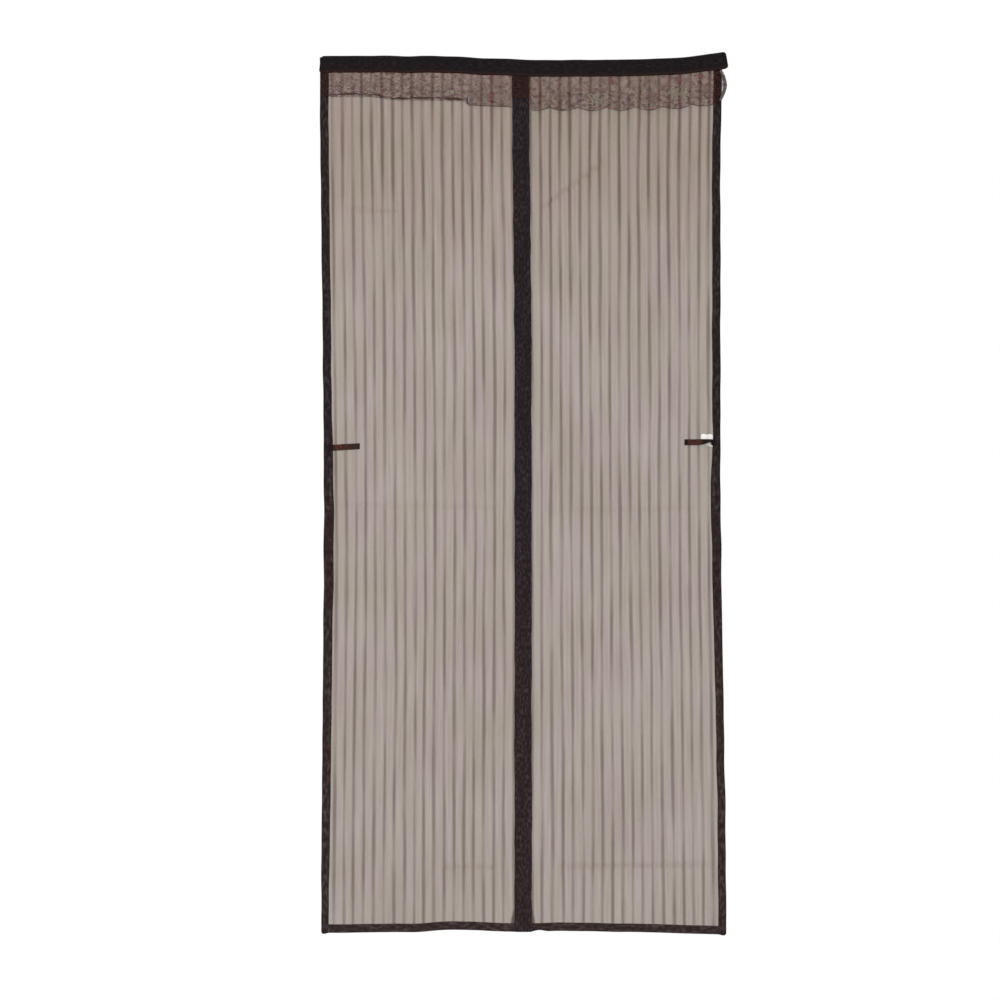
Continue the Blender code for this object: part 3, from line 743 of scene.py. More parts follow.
def header_place(way, x):
    """The place of a point this far round the header's ribbon."""
    reach, depth = fold(way, HEADER_BACK_LEAF, HEADER_FRONT_LEAF)
    drop = rounded_off(CORNER_RADIUS, min(x - HEADER_LEFT, HEADER_RIGHT - x))
    reach_share = reach / HEADER_HEIGHT
    z = HEADER_TOP - reach - drop * (1 - CORNER_TURN * reach_share)
    if way > 0:
        for fold_x in PRESSED_FOLDS:
            depth += PRESSED_DEPTH * ease(1 - abs(x - fold_x) / PRESSED_REACH)
        depth -= abs(ripple(x, z, *HEADER_WRINKLE, 3.3))
    z += ripple(x, 0, *HEADER_WAVE, 8.1)
    near_right = ease((x - HEADER_LEAN_FROM) / (HEADER_RIGHT - HEADER_LEAN_FROM))
    near_left = ease((HEADER_LEFT + HEADER_LEAN_OVER - x) / HEADER_LEAN_OVER)
    lean = HEADER_LEAN * reach_share * near_right
    lean += HEADER_LEAN_LEFT * (1 - reach_share) * near_left
    hung_x, hung_z = drape(x, z)
    return hung_x + lean, depth, hung_z


# %% Make the header
HEADER_STEP = 4 * MM
HEADER_LEAF_STEP = 3 * MM
# More columns so far from the ends, and on either side of a pressed fold
END_COLUMNS = (1 * MM, 2.2 * MM)
FOLD_COLUMNS = (-2.5 * MM, 0, 2.5 * MM)
header_half = fold_half(HEADER_HEIGHT, HEADER_BACK_LEAF, HEADER_FRONT_LEAF)
header_finish = ribbon_material(
    "header_ribbon", HEADER_BLACK, HEADER_SHEEN, SELVEDGE_BROWN, header_half - SELVEDGE, 210
)
header_length = stations(HEADER_LEFT, HEADER_RIGHT, HEADER_STEP)
for inset in END_COLUMNS:
    header_length += [HEADER_LEFT + inset, HEADER_RIGHT - inset]
for offset in FOLD_COLUMNS:
    header_length += [fold_x + offset for fold_x in PRESSED_FOLDS]
header = make_cloth(
    "header_binding",
    fold_stops(HEADER_HEIGHT, HEADER_BACK_LEAF, HEADER_FRONT_LEAF, HEADER_LEAF_STEP),
    sorted(header_length),
    header_place,
    RIBBON_THICKNESS,
    header_finish,
    ["header_tape"],
)

# %% [markdown]
# ## Side and hem bindings
# Ribbon of the same kind is folded over the outer edges and the hem. It was sewn on under a
# little tension, so it puckers between the stitches, and its width varies. It is narrowest at
# the right strap and near the bottom. The side bindings are turned under at the bottom, with
# rounded corners that stand a few millimetres below the hem. The hem ribbon is drawn up a
# little beside the foot of the bands.

# %% Colours of the bindings, and where their edges go
# Dark colour of the binding ribbon and of its painted sheen speckles, and the same pair bleached
TAPE_DARK = (0.0105, 0.0055, 0.0055)
TAPE_SHEEN = (0.0560, 0.0430, 0.0450)
TAPE_BLEACHED = (0.0230, 0.0125, 0.0120), (0.1050, 0.0780, 0.0790)
BLEACHED_FROM = -0.5
BLEACHED_TO = -2.1
SIDE_BLEACH = 0.7
HEM_BLEACH = 0.95
EDGE_WAVE = 1.8 * MM
SIDE_WAVE_LENGTH = 90 * MM
HEM_WAVE_LENGTH = 80 * MM
PUCKER = (0.7 * MM, 17 * MM)
PUCKER_BEHIND = -0.4
LEAF_STEP = 3.5 * MM
SIDE_STEP = 7 * MM
HEM_STEP = 6 * MM
CORNER_DROP = 3 * MM
CORNER_ROUND = 7 * MM
CORNER_HEIGHT = 30 * MM
STEADY_FOOT = 60 * MM
DRAWN_UP = 4 * MM
DRAWN_UP_X = 39 * MM
DRAWN_UP_REACH = 24 * MM
# Heights on each side, and how far outwards the binding's inner edge is drawn there
DRAWN_OUT = {
    -1: (
        (-2.08, 4.3 * MM),
        (-2.02, 2.2 * MM),
        (-1.80, 1.0 * MM),
        (-1.50, 0.0),
        (-1.20, -2.6 * MM),
        (-0.98, -1.0 * MM),
        (-0.88, 1.6 * MM),
        (-0.10, 1.5 * MM),
    ),
    1: (
        (-1.70, 3.0 * MM),
        (-1.50, 1.8 * MM),
        (-1.33, 0.2 * MM),
        (-1.20, -1.2 * MM),
        (-1.08, -2.5 * MM),
        (-0.98, 1.2 * MM),
        (-0.93, 4.0 * MM),
        (-0.88, 1.6 * MM),
        (-0.10, 1.7 * MM),
    ),
}


# %% Shape of the bindings
def bleached(z, most):
    """How bleached a ribbon is at a height, up to the given share at the bottom."""
    return most * ease((z - BLEACHED_FROM) / (BLEACHED_TO - BLEACHED_FROM))


def pucker(way, across, along, side):
    """How far a binding stands out between its stitches, on either leaf."""
    return abs(ripple(across, along, *PUCKER, side)) * (1 if way > 0 else PUCKER_BEHIND)


def side_place(side, back_leaf, front_leaf):
    """The place of a point of a side binding."""

    def place(way, z):
        reach, depth = fold(way, back_leaf, front_leaf)
        depth -= pucker(way, reach, z, side)
        wave = ripple(0, z, EDGE_WAVE, SIDE_WAVE_LENGTH, 4 + side)
        wave *= ease((z - HEM) / STEADY_FOOT)
        x = side * (HALF_WIDTH - reach + wave)
        x += side * between(DRAWN_OUT[side], z) * reach / SIDE_TAPE_WIDTH
        corner = rounded_off(CORNER_ROUND, reach)
        corner -= CORNER_DROP * ease(1 - reach / SIDE_TAPE_WIDTH + 0.2)
        hung_x, hung_z = drape(x, z)
        return hung_x, depth, hung_z + corner * ease((HEM + CORNER_HEIGHT - z) / CORNER_HEIGHT)

    return place


def hem_place(side, back_leaf, front_leaf):
    """The place of a point of a hem binding."""

    def place(way, x):
        reach, depth = fold(way, back_leaf, front_leaf)
        depth -= pucker(way, x, reach, side)
        drawn = DRAWN_UP * ease(1 - abs(x - DRAWN_UP_X) / DRAWN_UP_REACH)
        level = HEM + reach + ripple(x, 0, EDGE_WAVE, HEM_WAVE_LENGTH, 7 + side)
        hung_x, hung_z = drape(x, level + drawn * (1 - reach / HEM_TAPE_WIDTH))
        return hung_x, depth, hung_z

    return place


# %% Make the bindings
tape_finish = ribbon_material("binding_ribbon", TAPE_DARK, TAPE_SHEEN, TAPE_BLEACHED)
# Side of each panel, and the depths of its two leaves
LEAVES = {
    "left": (-1, FRONT_BACK_LEAF, FRONT_FRONT_LEAF),
    "right": (1, REAR_BACK_LEAF, REAR_FRONT_LEAF),
}
side_half = fold_half(SIDE_TAPE_WIDTH, FRONT_BACK_LEAF, FRONT_FRONT_LEAF)
hem_half = fold_half(HEM_TAPE_WIDTH, FRONT_BACK_LEAF, FRONT_FRONT_LEAF)
hem_inner = HALF_BAND + CLEARANCE


def hem_outer(side):
    """Where the hem binding meets the side binding."""
    return TAPE_INNER + DRAWN_OUT[side][0][1] - CLEARANCE


for name, (side, back, front) in LEAVES.items():
    side_ribbon = make_cloth(
        f"{name}_side_ribbon",
        fold_stops(SIDE_TAPE_WIDTH, back, front, LEAF_STEP),
        stations(HEM, TUCKED_TOP, SIDE_STEP),
        side_place(side, back, front),
        RIBBON_THICKNESS,
        tape_finish,
        [f"side_tape_{name}"],
        lambda way, z: bleached(z, SIDE_BLEACH),
    )
    hem_ribbon = make_cloth(
        f"{name}_hem_ribbon",
        fold_stops(HEM_TAPE_WIDTH, back, front, LEAF_STEP),
        sorted(side * stop for stop in stations(hem_inner, hem_outer(side), HEM_STEP)),
        hem_place(side, back, front),
        RIBBON_THICKNESS,
        tape_finish,
        [f"bottom_tape_{name}"],
        lambda way, x: HEM_BLEACH,
    )
    hem_flat = 2 * hem_half, hem_outer(side) - hem_inner

# %% [markdown]
# ## Centre bands and their magnets
# Each inner edge has a wide band, sewn into ten pockets with a flexible magnet strip in each.
# The front band stands out over its magnets. The magnets are left as the solids that they
# are, with the dull, faintly granular grey of ferrite in rubber.

# %% Shape of the bands
MAGNET_BULGE = 1.2 * MM
POCKET_HALF_WIDTH = 7.5 * MM
POCKET_LENGTH = 192 * MM
POCKET_SLOPE = 6 * MM
POCKET_PITCH = POCKET_LENGTH + 2 * POCKET_SLOPE
POCKET_TOP = -118 * MM
POCKET_COUNT = 10
# Dark colour of the band ribbon and of its painted sheen speckles
BAND_DARK = (0.0090, 0.0046, 0.0058)
BAND_SHEEN = (0.0460, 0.0340, 0.0385)
BAND_BLEACH = 0.4
BAND_LEAF_STEP = 3 * MM
BAND_STEP = 6 * MM
BAND_WAVE = (2.2 * MM, 60 * MM)
BAND_WRINKLE = (0.8 * MM, 15 * MM)
BAND_WRINKLE_BEHIND = (0.2 * MM, 15 * MM)


def pocket_share(x, z):
    """1 over a magnet, 0 off its pocket."""
    along = (POCKET_TOP - z) % POCKET_PITCH
    if not 0 <= POCKET_TOP - z <= POCKET_PITCH * POCKET_COUNT:
        return 0
    from_end = min(along, POCKET_PITCH - along) / POCKET_SLOPE
    from_side = (POCKET_HALF_WIDTH + POCKET_SLOPE - abs(x)) / POCKET_SLOPE
    return ease(min(from_end, from_side))


def band_place(side, back_leaf, front_leaf):
    """The place of a point of a band, whose fold is on the given side."""

    def place(way, z):
        reach, depth = fold(way, back_leaf, front_leaf)
        x = side * (HALF_BAND - reach)
        outward = 1 if way > 0 else -1
        if outward == side:
            depth -= side * MAGNET_BULGE * pocket_share(x, z)
            depth -= side * abs(ripple(x, z, *BAND_WRINKLE, 5.5))
        else:
            depth += side * abs(ripple(x, z, *BAND_WRINKLE_BEHIND, 6.5))
        edge = ripple(0, z, *BAND_WAVE, 9.2 + side) * abs(x) / HALF_BAND
        hung_x, hung_z = drape(x + edge * ease((z - HEM) / STEADY_FOOT), z)
        return hung_x, depth, hung_z

    return place


# %% Make the bands
band_finish = ribbon_material("band_ribbon", BAND_DARK, BAND_SHEEN, TAPE_BLEACHED, fleck=230)
# Side of each band's fold, the depths of its two leaves, and its panel
BANDS = {
    "front": (1, FRONT_BACK_LEAF, FRONT_FRONT_LEAF, "left"),
    "rear": (-1, REAR_BACK_LEAF, REAR_FRONT_LEAF, "right"),
}
band_half = fold_half(BAND_WIDTH, FRONT_BACK_LEAF, FRONT_FRONT_LEAF)
for name, (side, back, front, panel) in BANDS.items():
    band = make_cloth(
        f"{name}_band_ribbon",
        fold_stops(BAND_WIDTH, back, front, BAND_LEAF_STEP),
        stations(HEM, TUCKED_TOP, BAND_STEP),
        band_place(side, back, front),
        RIBBON_THICKNESS,
        band_finish,
        [f"centre_band_{name}"],
        lambda way, z: bleached(z, BAND_BLEACH),
    )

# %% Finish the magnets
FERRITE_DARK = (0.020, 0.019, 0.019)
FERRITE_LIGHT = (0.052, 0.050, 0.049)
FERRITE_RELIEF = 0.1 * MM


def ferrite_material():
    """Ferrite powder in rubber, with painted shade in its pores."""
    material, tree, shader = start_material(
        "ferrite_rubber", roughness=0.55, sheen=0.0, specular=0.35
    )
    powder = grain(tree, solid_place(tree), 900, detail=4)
    # Darker in the pores that the bump sinks: painted shade
    colour = blend_colour(tree, spread(tree, powder, 0.35, 0.7), FERRITE_DARK, FERRITE_LIGHT)
    paint(tree, shader, colour)
    add_bump(tree, shader, powder, FERRITE_RELIEF)
    return material


ferrite = ferrite_material()
magnets = [node for name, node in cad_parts.items() if name.startswith("magnet")]
for magnet in magnets:
    for slot in magnet.material_slots:
        slot.material = ferrite
print("magnets:", len(magnets))

# %% [markdown]
# ## Lace
# The valance is a sheer brown lace with a floral ground, sewn in under the header. On the right
# its scalloped edge hangs free, and on the left the edge has been turned up and rolled. It
# sticks out a little past the right binding. The ground is a net with denser vines, drawn by
# the material, and the outlines of its flowers are real raised threads. Its thread is dark but
# lets light through from behind, so it glows red-brown over the sheer mesh: that glow is painted
# into the thread's colour. Where a ribbon backs it, and on the flap that folds round the right
# edge, it is denser, and its darker colour there is painted shade. The sheet carries that as a
# mark on its points.

# %% Sizes of the lace
LACE_DROP = 87 * MM
LACE_TUCK = 25 * MM
LACE_LEFT_RAISE = 30 * MM
LACE_STEP_RAISE = 8 * MM
LACE_BAND_RAISE = 32 * MM
LACE_STEP_X = -132 * MM
LACE_STEP_SLOPE = 8 * MM
LACE_SAG = (4.5 * MM, 8.8 * MM)
LACE_SAG_FROM = -385 * MM
LACE_SAG_OVER = 85 * MM
SCALLOP_PITCH = 71 * MM
SCALLOP_DEPTH = 8 * MM
LACE_LOW = HEADER_BOTTOM - LACE_DROP
LACE_TOP = HEADER_BOTTOM + LACE_TUCK
LACE_LEFT = -HALF_WIDTH
LACE_RIGHT = HALF_WIDTH
FLAP_TOP = HEADER_BOTTOM - 3 * MM
FLAP_HEIGHT = 76 * MM
FLAP_OUT = 12.5 * MM
FLAP_FROM = 30 * MM
LACE_SWELL = 0.8 * MM
LACE_SWELL_OVER = 30 * MM
LACE_WRINKLE = (4.0 * MM, 45 * MM)


# %% Lace outline
def lace_edge(x):
    """The lower edge of the lace: scalloped on the right, drawn up on the left."""
    scallop = abs(math.sin(math.pi * x / SCALLOP_PITCH))
    right = LACE_LOW + SCALLOP_DEPTH * (1 - scallop)
    left = LACE_LOW + LACE_STEP_RAISE
    sag = LACE_SAG[0] + LACE_SAG[1] * ease((x - LACE_SAG_FROM) / LACE_SAG_OVER)
    left += (LACE_LEFT_RAISE - LACE_STEP_RAISE - sag) * ease((LACE_STEP_X - x) / LACE_STEP_SLOPE)
    over_band = LACE_LOW + LACE_BAND_RAISE
    if x < -HALF_BAND:
        return left
    return over_band + (right - over_band) * ease((x - HALF_BAND) / LACE_STEP_SLOPE)


def lace_place(x, share, proud=0.0):
    """The place of a point of the lace, this share of the way down and so far in front."""
    z = LACE_TOP + (lace_edge(x) - LACE_TOP) * share
    under_header = ease((HEADER_BOTTOM - z) / LACE_SWELL_OVER)
    depth = LACE_BACK - LACE_THICKNESS / 2 - proud
    depth -= under_header * (LACE_SWELL + abs(ripple(x, z, *LACE_WRINKLE, 12.5)))
    flap = math.sin(math.pi * min(max((FLAP_TOP - z) / FLAP_HEIGHT, 0), 1))
    flap *= ease((x - LACE_RIGHT + FLAP_FROM) / FLAP_FROM)
    hung_x, hung_z = drape(x, z)
    return hung_x + FLAP_OUT * flap, depth, hung_z


# %% Lace material
# The thread's painted glow from behind, its darker vines, and its painted shade where backed
LACE_BACKLIT_GLOW = (0.125, 0.026, 0.015)
LACE_VINE = (0.060, 0.014, 0.008)
LACE_SHADED_ON_RIBBON = (0.031, 0.0113, 0.0087)
LACE_NET = 2.0 * MM
LACE_RELIEF = 0.3 * MM
LACE_SWIRL = 12 * MM
LACE_CELLS = 42
# The closer work begins so far under the header and is closest so far above the lace's edge
GARLAND_REACH = (15 * MM, 20 * MM)
# How much of the light the lace holds back, and what its net, closer work and backing add
LACE_COVER = 0.147
LACE_NET_COVER = 0.24
LACE_DENSER = 0.30
LACE_ON_RIBBON_COVER = 0.20


def lace_work(tree, flat):
    """Where the lace is worked closer: winding vines, and patches that crowd towards its edge."""
    curl = grain(tree, flat, 30)
    swirl = add_node(tree, "ShaderNodeCombineXYZ", {0: curl, 1: curl, 2: 0.0}).outputs[0]
    bending = {0: swirl, 1: (LACE_SWIRL,) * 3, 2: flat}
    bent = add_node(tree, "ShaderNodeVectorMath", bending, operation="MULTIPLY_ADD").outputs[0]
    cells = {"Vector": bent, "Scale": LACE_CELLS}
    vines = add_node(tree, "ShaderNodeTexVoronoi", cells, feature="DISTANCE_TO_EDGE")
    vine = spread(tree, vines.outputs["Distance"], 0.03, 0.16, 1.0, 0.0)
    start, end = HEADER_BOTTOM - GARLAND_REACH[0], LACE_LOW + GARLAND_REACH[1]
    garland = spread(tree, axes(tree, flat)[1], start, end, 0.0, 0.05)
    closer = sums(tree, "ADD", garland, grain(tree, flat, 95, detail=3, stretch=(1, 1.25, 1)))
    patch = spread(tree, closer, 0.54, 0.64)
    return sums(tree, "MAXIMUM", sums(tree, "MULTIPLY", vine, 0.35), patch)


def lace_material():
    """A sheer net with denser vines and blotches of closer work, and painted glow and shade."""
    material, tree, shader = start_material("floral_lace", roughness=0.75, sheen=0.15, specular=0.1)
    flat, backed = cloth_flat(tree), cloth_mark(tree)
    dense = lace_work(tree, flat)
    colour = blend_colour(tree, dense, LACE_BACKLIT_GLOW, LACE_VINE)
    # Painted shade where a ribbon backs the lace, and on the flap
    paint(tree, shader, blend_colour(tree, backed, colour, LACE_SHADED_ON_RIBBON))
    net = weave_height(tree, flat, LACE_NET)
    cover = swing(tree, LACE_COVER, net, LACE_NET_COVER)
    cover = sums(tree, "MULTIPLY_ADD", dense, LACE_DENSER, cover)
    cover = sums(tree, "MULTIPLY_ADD", backed, LACE_ON_RIBBON_COVER, cover)
    tree.links.new(cover, shader.inputs["Alpha"])
    add_bump(tree, shader, sums(tree, "MULTIPLY_ADD", dense, 2.0, net), LACE_RELIEF, strength=0.7)
    return material


# %% Make the lace
LACE_SHEET = 0.3 * MM
LACE_BACKED_EDGE = 3 * MM
LACE_ROWS = 26
LACE_STEP = 4 * MM
# More columns at the edge of each ribbon, and so far over the open cloth
LACE_BESIDE = 2 * MM


def backed_by_ribbon(x, z):
    """1 where the band or a side binding lies behind the lace, and on the flap: painted shade
    there.
    """
    return ease(0.5 - from_ribbons(x) / LACE_BACKED_EDGE)


lace_columns = stations(LACE_LEFT, LACE_RIGHT, LACE_STEP)
for edge, beyond in ((HALF_BAND, LACE_BESIDE), (TAPE_INNER, -LACE_BESIDE)):
    lace_columns += [side * (edge + offset) for side in (-1, 1) for offset in (0, beyond)]
lace_columns = sorted({*lace_columns, LACE_STEP_X - LACE_STEP_SLOPE, LACE_STEP_X})
lace_shares = stations(0, 1, 1 / LACE_ROWS)
lace_finish = lace_material()
lace_length = LACE_TOP - LACE_LOW
lace = make_cloth(
    "lace_cloth",
    lace_columns,
    [LACE_LOW + lace_length * (1 - share) for share in reversed(lace_shares)],
    lambda x, z: lace_place(x, (LACE_TOP - z) / lace_length),
    LACE_SHEET,
    lace_finish,
    ["lace_valance"],
    backed_by_ribbon,
)
lace_area = sum(
    (after - before) * (LACE_TOP - (lace_edge(before) + lace_edge(after)) / 2)
    for before, after in zip(lace_columns, lace_columns[1:])
)

# %% [markdown]
# ## Needlework on the lace
# The lace's edge is bound with a dark thread, and vines and small five-petalled flowers are
# stitched on its ground as outlines. A thread is a curve with a round section, made a mesh, and
# each flower has a knot at its heart, a small bead that is added once for each place. A few
# flowers are pale green, and the rest are brown on brown.

# %% Thread helper
def make_threads(name, paths, thickness, material):
    """Raised threads along paths of (x, y, z, share of the thickness)."""
    curve = bpy.data.curves.new(name, "CURVE")
    curve.dimensions = "3D"
    curve.bevel_depth = thickness / 2
    curve.bevel_resolution = 1
    curve.use_fill_caps = True
    for path in paths:
        spline = curve.splines.new("POLY")
        spline.points.add(len(path) - 1)
        for point, (x, y, z, share) in zip(spline.points, path):
            point.co = (x, y, z, 1)
            point.radius = share
    drawn = bpy.data.objects.new(name + "_line", curve)
    scene.collection.objects.link(drawn)
    graph = bpy.context.evaluated_depsgraph_get()
    mesh = bpy.data.meshes.new_from_object(drawn.evaluated_get(graph))
    bpy.data.objects.remove(drawn)
    mesh.name = name
    mesh.shade_smooth()
    return keep(bpy.data.objects.new(name, mesh), material, ())


# %% Bead helper, and the material of threads
def make_copies(name, size, places, material, roundness=1):
    """One small rounded bead for each matrix in places, all in one piece."""
    bead = bmesh.new()
    bmesh.ops.create_icosphere(bead, subdivisions=roundness, radius=0.5)
    bmesh.ops.scale(bead, verts=bead.verts, vec=size)
    single = bpy.data.meshes.new("single")
    bead.to_mesh(single)
    bead.free()
    shape = bmesh.new()
    for place in places:
        single.transform(place)
        shape.from_mesh(single)
        single.transform(place.inverted())
    for face in shape.faces:
        face.smooth = True
    bpy.data.meshes.remove(single)
    return keep(as_piece(name, shape), material, ())


THREAD_RELIEF = 0.15 * MM


def thread_material(name, dark, light, scale=700):
    """Twisted thread, with a painted highlight on its raised strands."""
    material, tree, shader = start_material(name, roughness=0.7, sheen=0.15, specular=0.12)
    twist = grain(tree, solid_place(tree), scale, detail=3)
    # Painted highlight on the strands that the bump raises
    colour = blend_colour(tree, spread(tree, twist, 0.35, 0.65), dark, light)
    paint(tree, shader, colour)
    add_bump(tree, shader, twist, THREAD_RELIEF)
    return material


# %% How thick the edge of the lace is
EDGE_THREAD = 3.2 * MM
ROLL = 7.0 * MM
ROLL_TOP_ROOM = 6.5 * MM
ROLL_RIPPLE = (3.5 * MM, 16 * MM)
ROLL_WAVE = 24 * MM
THREAD_WAVE = 38 * MM
THREAD_STEP = 3 * MM
# The rolled hem turns down at its end, from so far above it, in finer steps
TURNED_ABOVE = 4 * MM
TURNED_STEP = 2 * MM
TURNED_WAVE = 9 * MM
FLAP_ROLL = 9.0 * MM
FLAP_KNOT = -63 * MM
# Middle, reach and extra thickness of the thick places of the rolled hem
ROLL_BUNCHES = (
    (-425 * MM, 34 * MM, 0.5),
    (-354 * MM, 12 * MM, 0.5),
    (-297 * MM, 20 * MM, 0.6),
    (-255 * MM, 50 * MM, 0.35),
    (-165 * MM, 30 * MM, 0.35),
)


def on_lace(x, z, proud, share=1.0):
    """A point of a thread on the front of the lace."""
    place = lace_place(x, (LACE_TOP - z) / (LACE_TOP - lace_edge(x)), proud)
    return *place, share


def uneven(least, more, *where):
    """A share of a thread's thickness that varies along it and is never under the least."""
    return least + more * abs(noise.noise(Vector(where)))


def roll_share(x):
    """How thick the rolled hem is at a place: uneven, with a few bunches."""
    bunch = uneven(0.22, 0.9, x / ROLL_WAVE, 3.0, 8.0)
    for at, reach, more in ROLL_BUNCHES:
        bunch += more * ease(1 - abs(x - at) / reach)
    return bunch


def edge_share(x):
    """How thick the thread on the scallops is at a place."""
    return uneven(0.35, 0.9, x / THREAD_WAVE, 5.0, 2.0)


# %% Make the edge thread and the rolled hem
edge_finish = thread_material("edge_thread", (0.060, 0.026, 0.019), (0.115, 0.054, 0.042))
edge_paths = []
for start, end in ((HALF_BAND, TAPE_INNER), (LACE_STEP_X, -HALF_BAND)):
    stops = stations(start, end, THREAD_STEP)
    edge_paths.append([on_lace(x, lace_edge(x), EDGE_THREAD / 4, edge_share(x)) for x in stops])
make_threads("lace_edge_thread", edge_paths, EDGE_THREAD, edge_finish)
roll_finish = thread_material("rolled_lace", (0.034, 0.0125, 0.008), (0.074, 0.030, 0.021), 300)


def roll_level(x):
    """The height of the rolled hem, a little above the lace's edge and not quite straight."""
    edge = lace_edge(min(x, LACE_STEP_X - LACE_STEP_SLOPE))
    return edge + ROLL_TOP_ROOM + ripple(x, 0, *ROLL_RIPPLE, 6.6)


roll_end = LACE_STEP_X - 1 * MM
roll_path = []
for x in stations(-TAPE_INNER, roll_end, THREAD_STEP):
    roll_path.append(on_lace(x, roll_level(x), ROLL / 4, roll_share(x)))
turned_path = []
turned_top = roll_level(roll_end) + TURNED_ABOVE
for z in stations(turned_top, LACE_LOW + LACE_STEP_RAISE + TURNED_STEP, TURNED_STEP):
    turned_path.append(on_lace(roll_end, z, ROLL / 4, uneven(0.35, 0.5, 0, z / TURNED_WAVE, 1)))
make_threads("lace_rolled_hem", [roll_path, turned_path], ROLL, roll_finish)

# %% Edge of the flap
flap_finish = thread_material("flap_thread", (0.047, 0.037, 0.035), (0.122, 0.104, 0.101), 160)
flap_path = []
for z in stations(FLAP_TOP, FLAP_TOP - FLAP_HEIGHT, THREAD_STEP):
    thick = 0.5 + 0.5 * math.sin(math.pi * (FLAP_TOP - z) / FLAP_HEIGHT)
    flap_path.append(on_lace(LACE_RIGHT - FLAP_ROLL / 2, z, 0, thick))
make_threads("lace_flap_edge", [flap_path], FLAP_ROLL, flap_finish)

# %% Petals and knots
VINE_THREAD = 1.0 * MM
PALE_THREAD = 2.1 * MM
VINE_STEP = 3.5 * MM
VINE_SWAY = 9 * MM
VINE_ABOVE_EDGE = 3 * MM
PETAL_LENGTH = 15 * MM
PETAL_WIDTH = 8 * MM
PETALS = 5
PETAL_STEPS = 12
TENDRIL_STEPS = 13
TENDRIL_TURN = 4.2
TENDRIL_WOUND_IN = 0.72
TENDRIL_ROOM = 2 * MM
KNOT_SIZE = (3.6 * MM, 1.6 * MM, 3.6 * MM)


def petals(x, z, scale=1.0, turn=0.0):
    """The outlines of a flower's petals, as threads on the lace."""
    outlines = []
    for petal in range(PETALS):
        angle = turn + 2 * math.pi * (petal + 0.25) / PETALS
        outline = []
        for step in range(PETAL_STEPS + 1):
            round_petal = 2 * math.pi * step / PETAL_STEPS
            along = scale * PETAL_LENGTH * (0.58 - 0.42 * math.cos(round_petal))
            widening = 0.6 + 0.4 * along / (scale * PETAL_LENGTH)
            across = scale * PETAL_WIDTH / 2 * math.sin(round_petal) * widening
            point_x = x + along * math.cos(angle) - across * math.sin(angle)
            point_z = z + along * math.sin(angle) + across * math.cos(angle)
            outline.append(on_lace(point_x, max(point_z, lace_edge(point_x)), VINE_THREAD / 2))
        outlines.append(outline)
    return outlines


def knot(x, z, scale=1.0):
    """Where the knot at a flower's heart goes."""
    return Matrix.Translation(on_lace(x, z, VINE_THREAD / 2)[:3]) @ Matrix.Scale(scale, 4)


# %% Stems and tendrils
def vine(start, end, height, waves, phase):
    """A winding stem along the lace."""
    path = []
    for x in stations(start, end, VINE_STEP):
        middle = HEADER_BOTTOM + (lace_edge(x) - HEADER_BOTTOM) * height
        turn = phase + waves * 2 * math.pi * (x - start) / (end - start)
        z = max(middle + VINE_SWAY * math.sin(turn), lace_edge(x) + VINE_ABOVE_EDGE)
        path.append(on_lace(x, z, VINE_THREAD / 2, 0.7 + 0.3 * math.sin(x * 90)))
    return path


def tendril(x, z, size, turn, way):
    """A curl that springs from a stem."""
    path = []
    for step in range(TENDRIL_STEPS + 1):
        share = step / TENDRIL_STEPS
        angle = turn + way * share * TENDRIL_TURN
        reach = size * (1 - share * TENDRIL_WOUND_IN)
        point_x = x + reach * math.cos(angle)
        point_z = max(z + reach * math.sin(angle), lace_edge(point_x) + TENDRIL_ROOM)
        point_z = min(point_z, HEADER_BOTTOM + TENDRIL_ROOM)
        path.append(on_lace(point_x, point_z, VINE_THREAD / 2, 1 - 0.5 * share))
    return path


# %% Stitch the vines and flowers
FLOWER_LEVEL = 0.55
SMALL_FLOWER = (31 * MM, 16 * MM)
TENDRIL_SIZE = 23 * MM
# How far the vines and the flowers keep from the left end, the right end and the band
VINES_KEEP = (24 * MM, 26 * MM, 8 * MM)
FLOWERS_KEEP = (26 * MM, 28 * MM, 20 * MM)
vine_finish = thread_material("vine_thread", (0.135, 0.074, 0.058), (0.210, 0.130, 0.106))
pale_finish = thread_material("pale_thread", (0.190, 0.160, 0.112), (0.290, 0.252, 0.182))
rose_finish = thread_material("rose_thread", (0.125, 0.046, 0.040), (0.19, 0.080, 0.070))
spans = (
    (LACE_LEFT + VINES_KEEP[0], -HALF_BAND - VINES_KEEP[2]),
    (HALF_BAND + VINES_KEEP[2], LACE_RIGHT - VINES_KEEP[1]),
)
stems = ((0.32, 5, 0.4), (0.68, 6, 2.1))
vines = [vine(*span, height, waves, phase) for span in spans for height, waves, phase in stems]
knots = [knot(LACE_RIGHT - 2 * MM, FLAP_KNOT, 1.5)]
first_x, last_x = LACE_LEFT + FLOWERS_KEEP[0], LACE_RIGHT - FLOWERS_KEEP[1]
for index in range(-7, 8):
    x = (index + 0.5) * SCALLOP_PITCH
    if not first_x < x < last_x or abs(x) < HALF_BAND + FLOWERS_KEEP[2]:
        continue
    z = HEADER_BOTTOM + (lace_edge(x) - HEADER_BOTTOM) * FLOWER_LEVEL
    vines += petals(x, z, 0.85, index * 0.7)
    knots.append(knot(x, z))
    small_x, small_z = x + SMALL_FLOWER[0], z + SMALL_FLOWER[1]
    if small_x < last_x:
        vines += petals(small_x, small_z, 0.5, index * 1.3)
        knots.append(knot(small_x, small_z, 0.7))
    size = min(TENDRIL_SIZE, TAPE_INNER - abs(x))
    for turn, way in ((0.4, 1), (2.6, -1), (4.3, 1)):
        vines.append(tendril(x, z, size, turn + index, way))
make_threads("lace_vines", vines, VINE_THREAD, vine_finish)
make_copies("lace_knots", KNOT_SIZE, knots, vine_finish, 2)

